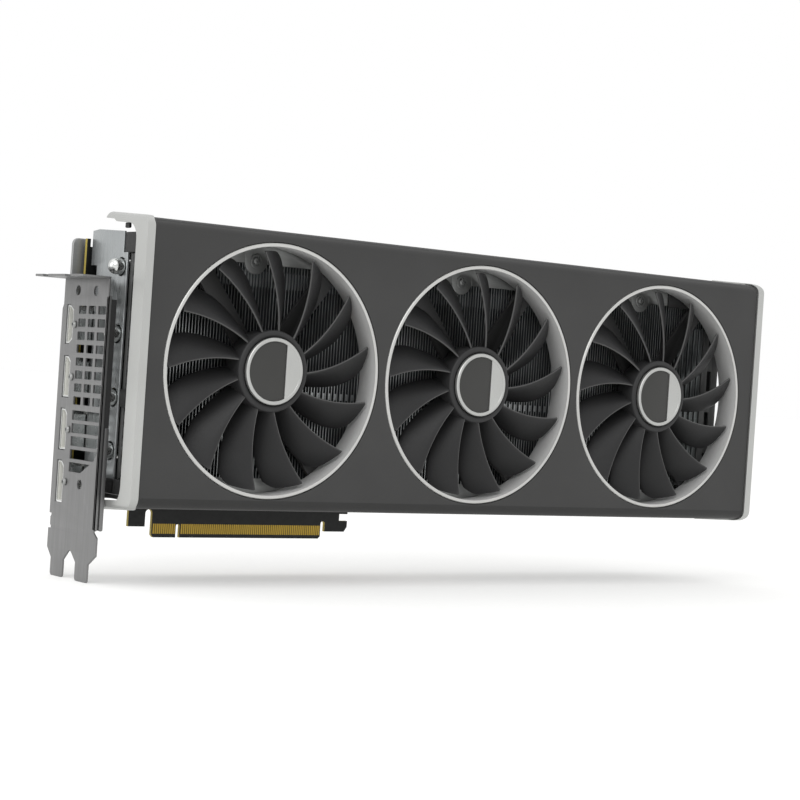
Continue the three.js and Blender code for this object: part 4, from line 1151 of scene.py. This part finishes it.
def dress_kept():
    for look, names in KEPT.items():
        for name in names:
            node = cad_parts[name]
            for slot in node.material_slots:
                slot.material = LOOK[look]
            soften(node, SOFTENING.get(name, 0.25))


PIN = {"y": 47.6, "pitch": 4.2, "row_pitch": 4.0, "half": 0.5, "bottom": 11, "top": 3.2}


def socket_pins():
    """The metal pins inside the power sockets' cells."""
    part = Part()
    half = PIN["half"]
    for number in (1, 2):
        low, high = box_mm(f"power_socket_{number}")
        for row in (-0.5, 0.5):
            for column in (-1.5, -0.5, 0.5, 1.5):
                x = (low.x + high.x) / 2 + column * PIN["pitch"]
                y = PIN["y"] + row * PIN["row_pitch"]
                part.block(x - half, x + half, y - half, y + half, high.z - PIN["bottom"],
                           high.z - PIN["top"])
    part.make("socket_pins", ["gold"], bevel=0.15)


# ---------------------------------------------------------------- build

panel()
end_frame("end_frame_left", "silver_frame_left", -1)
end_frame("end_frame_right", "silver_frame_right", 1)
for fan_number in FAN_NUMBERS:
    fan_ring(fan_number)
    fan_rotor(fan_number)
    badge(fan_number)
for stack_node, stack_name in (("fin_stack_front", "fins_front"),
                               ("fin_stack_rear_left", "fins_rear_left"),
                               ("fin_stack_rear_right", "fins_rear_right"),
                               ("fin_stack_flow_end", "fins_flow_end")):
    fin_stack(stack_node, stack_name)
for pipe_number in PIPE_PATHS:
    heat_pipe(pipe_number)
end_plate()
end_wall()
rails()
board()
board_parts()
backplate()
bracket()
port("hdmi_port", "multimedia_port", hdmi_loop, PORT["hdmi_z"], PORT["hdmi_tongue"])
for port_number, port_z in enumerate(PORT["display_z"], 1):
    port(f"display_port_{port_number}", f"display_jack_{port_number}", display_loop, port_z,
         PORT["display_tongue"])
jack_screws()
left_end()
dress_kept()
socket_pins()


# ---------------------------------------------------------------- stage, light and camera

FLOOR_Z = CAD_BOUNDS[0][2]
FLOOR_SIZE = 8.0
FLOOR_GLOW = 0.36
CAMERA = {"place_mm": (-482.075, -748.293, 72.838), "turn": (89.385, -3.798, -36.981), "lens": 93.65}


def floor():
    mesh = bpy.data.meshes.new("floor")
    corners = ((-1, -1), (1, -1), (1, 1), (-1, 1))
    mesh.from_pydata([(x * FLOOR_SIZE, y * FLOOR_SIZE, FLOOR_Z) for x, y in corners], [],
                     [(0, 1, 2, 3)])
    material = surface("floor_paper", (0.60, 0.60, 0.595), 0.8, 0.0, 0.01, patch=2.0, grain=300,
                       relief=0.00005, strength=0.1, specular=0.1)
    shader = material.node_tree.nodes["Principled BSDF"]
    shader.inputs["Emission Color"].default_value = (1, 1, 0.99, 1)
    shader.inputs["Emission Strength"].default_value = FLOOR_GLOW
    mesh.materials.append(material)
    linked("floor", mesh)


def world_light(strength):
    world = bpy.data.worlds.new("studio")
    world.use_nodes = True
    background = world.node_tree.nodes["Background"]
    background.inputs["Color"].default_value = (1, 1, 1, 1)
    background.inputs["Strength"].default_value = strength
    bpy.context.scene.world = world


def sun_light(strength, tilt, softness):
    data = bpy.data.lights.new("sun", "SUN")
    data.energy = strength
    data.angle = math.radians(softness)
    linked("sun", data).rotation_euler = [math.radians(angle) for angle in tilt]


def area_light(name, location, target, size, power):
    data = bpy.data.lights.new(name, "AREA")
    data.shape = "RECTANGLE"
    data.size, data.size_y = size
    data.energy = power
    light = linked(name, data)
    light.location = location
    light.rotation_euler = (Vector(target) - Vector(location)).to_track_quat("-Z", "Y").to_euler()


def camera():
    data = bpy.data.cameras.new("camera")
    data.sensor_width = 36
    data.lens = CAMERA["lens"]
    data.clip_start = 0.01
    view = linked("camera", data)
    turn = Euler([math.radians(angle) for angle in CAMERA["turn"]]).to_matrix().to_4x4()
    view.matrix_world = Matrix.Translation(Vector(CAMERA["place_mm"]) * MM) @ turn
    bpy.context.scene.camera = view


floor()
world_light(1.0)
sun_light(0.35, (-8, -6, 0), 70)
area_light("key", (-0.9, -0.9, 1.1), (0.05, 0, 0.05), (0.9, 0.9), 7)
area_light("left_fill", (-1.3, 0.1, 0.5), (-0.05, 0, 0.05), (0.6, 0.9), 4)
camera()
bpy.context.scene.view_settings.view_transform = "Standard"
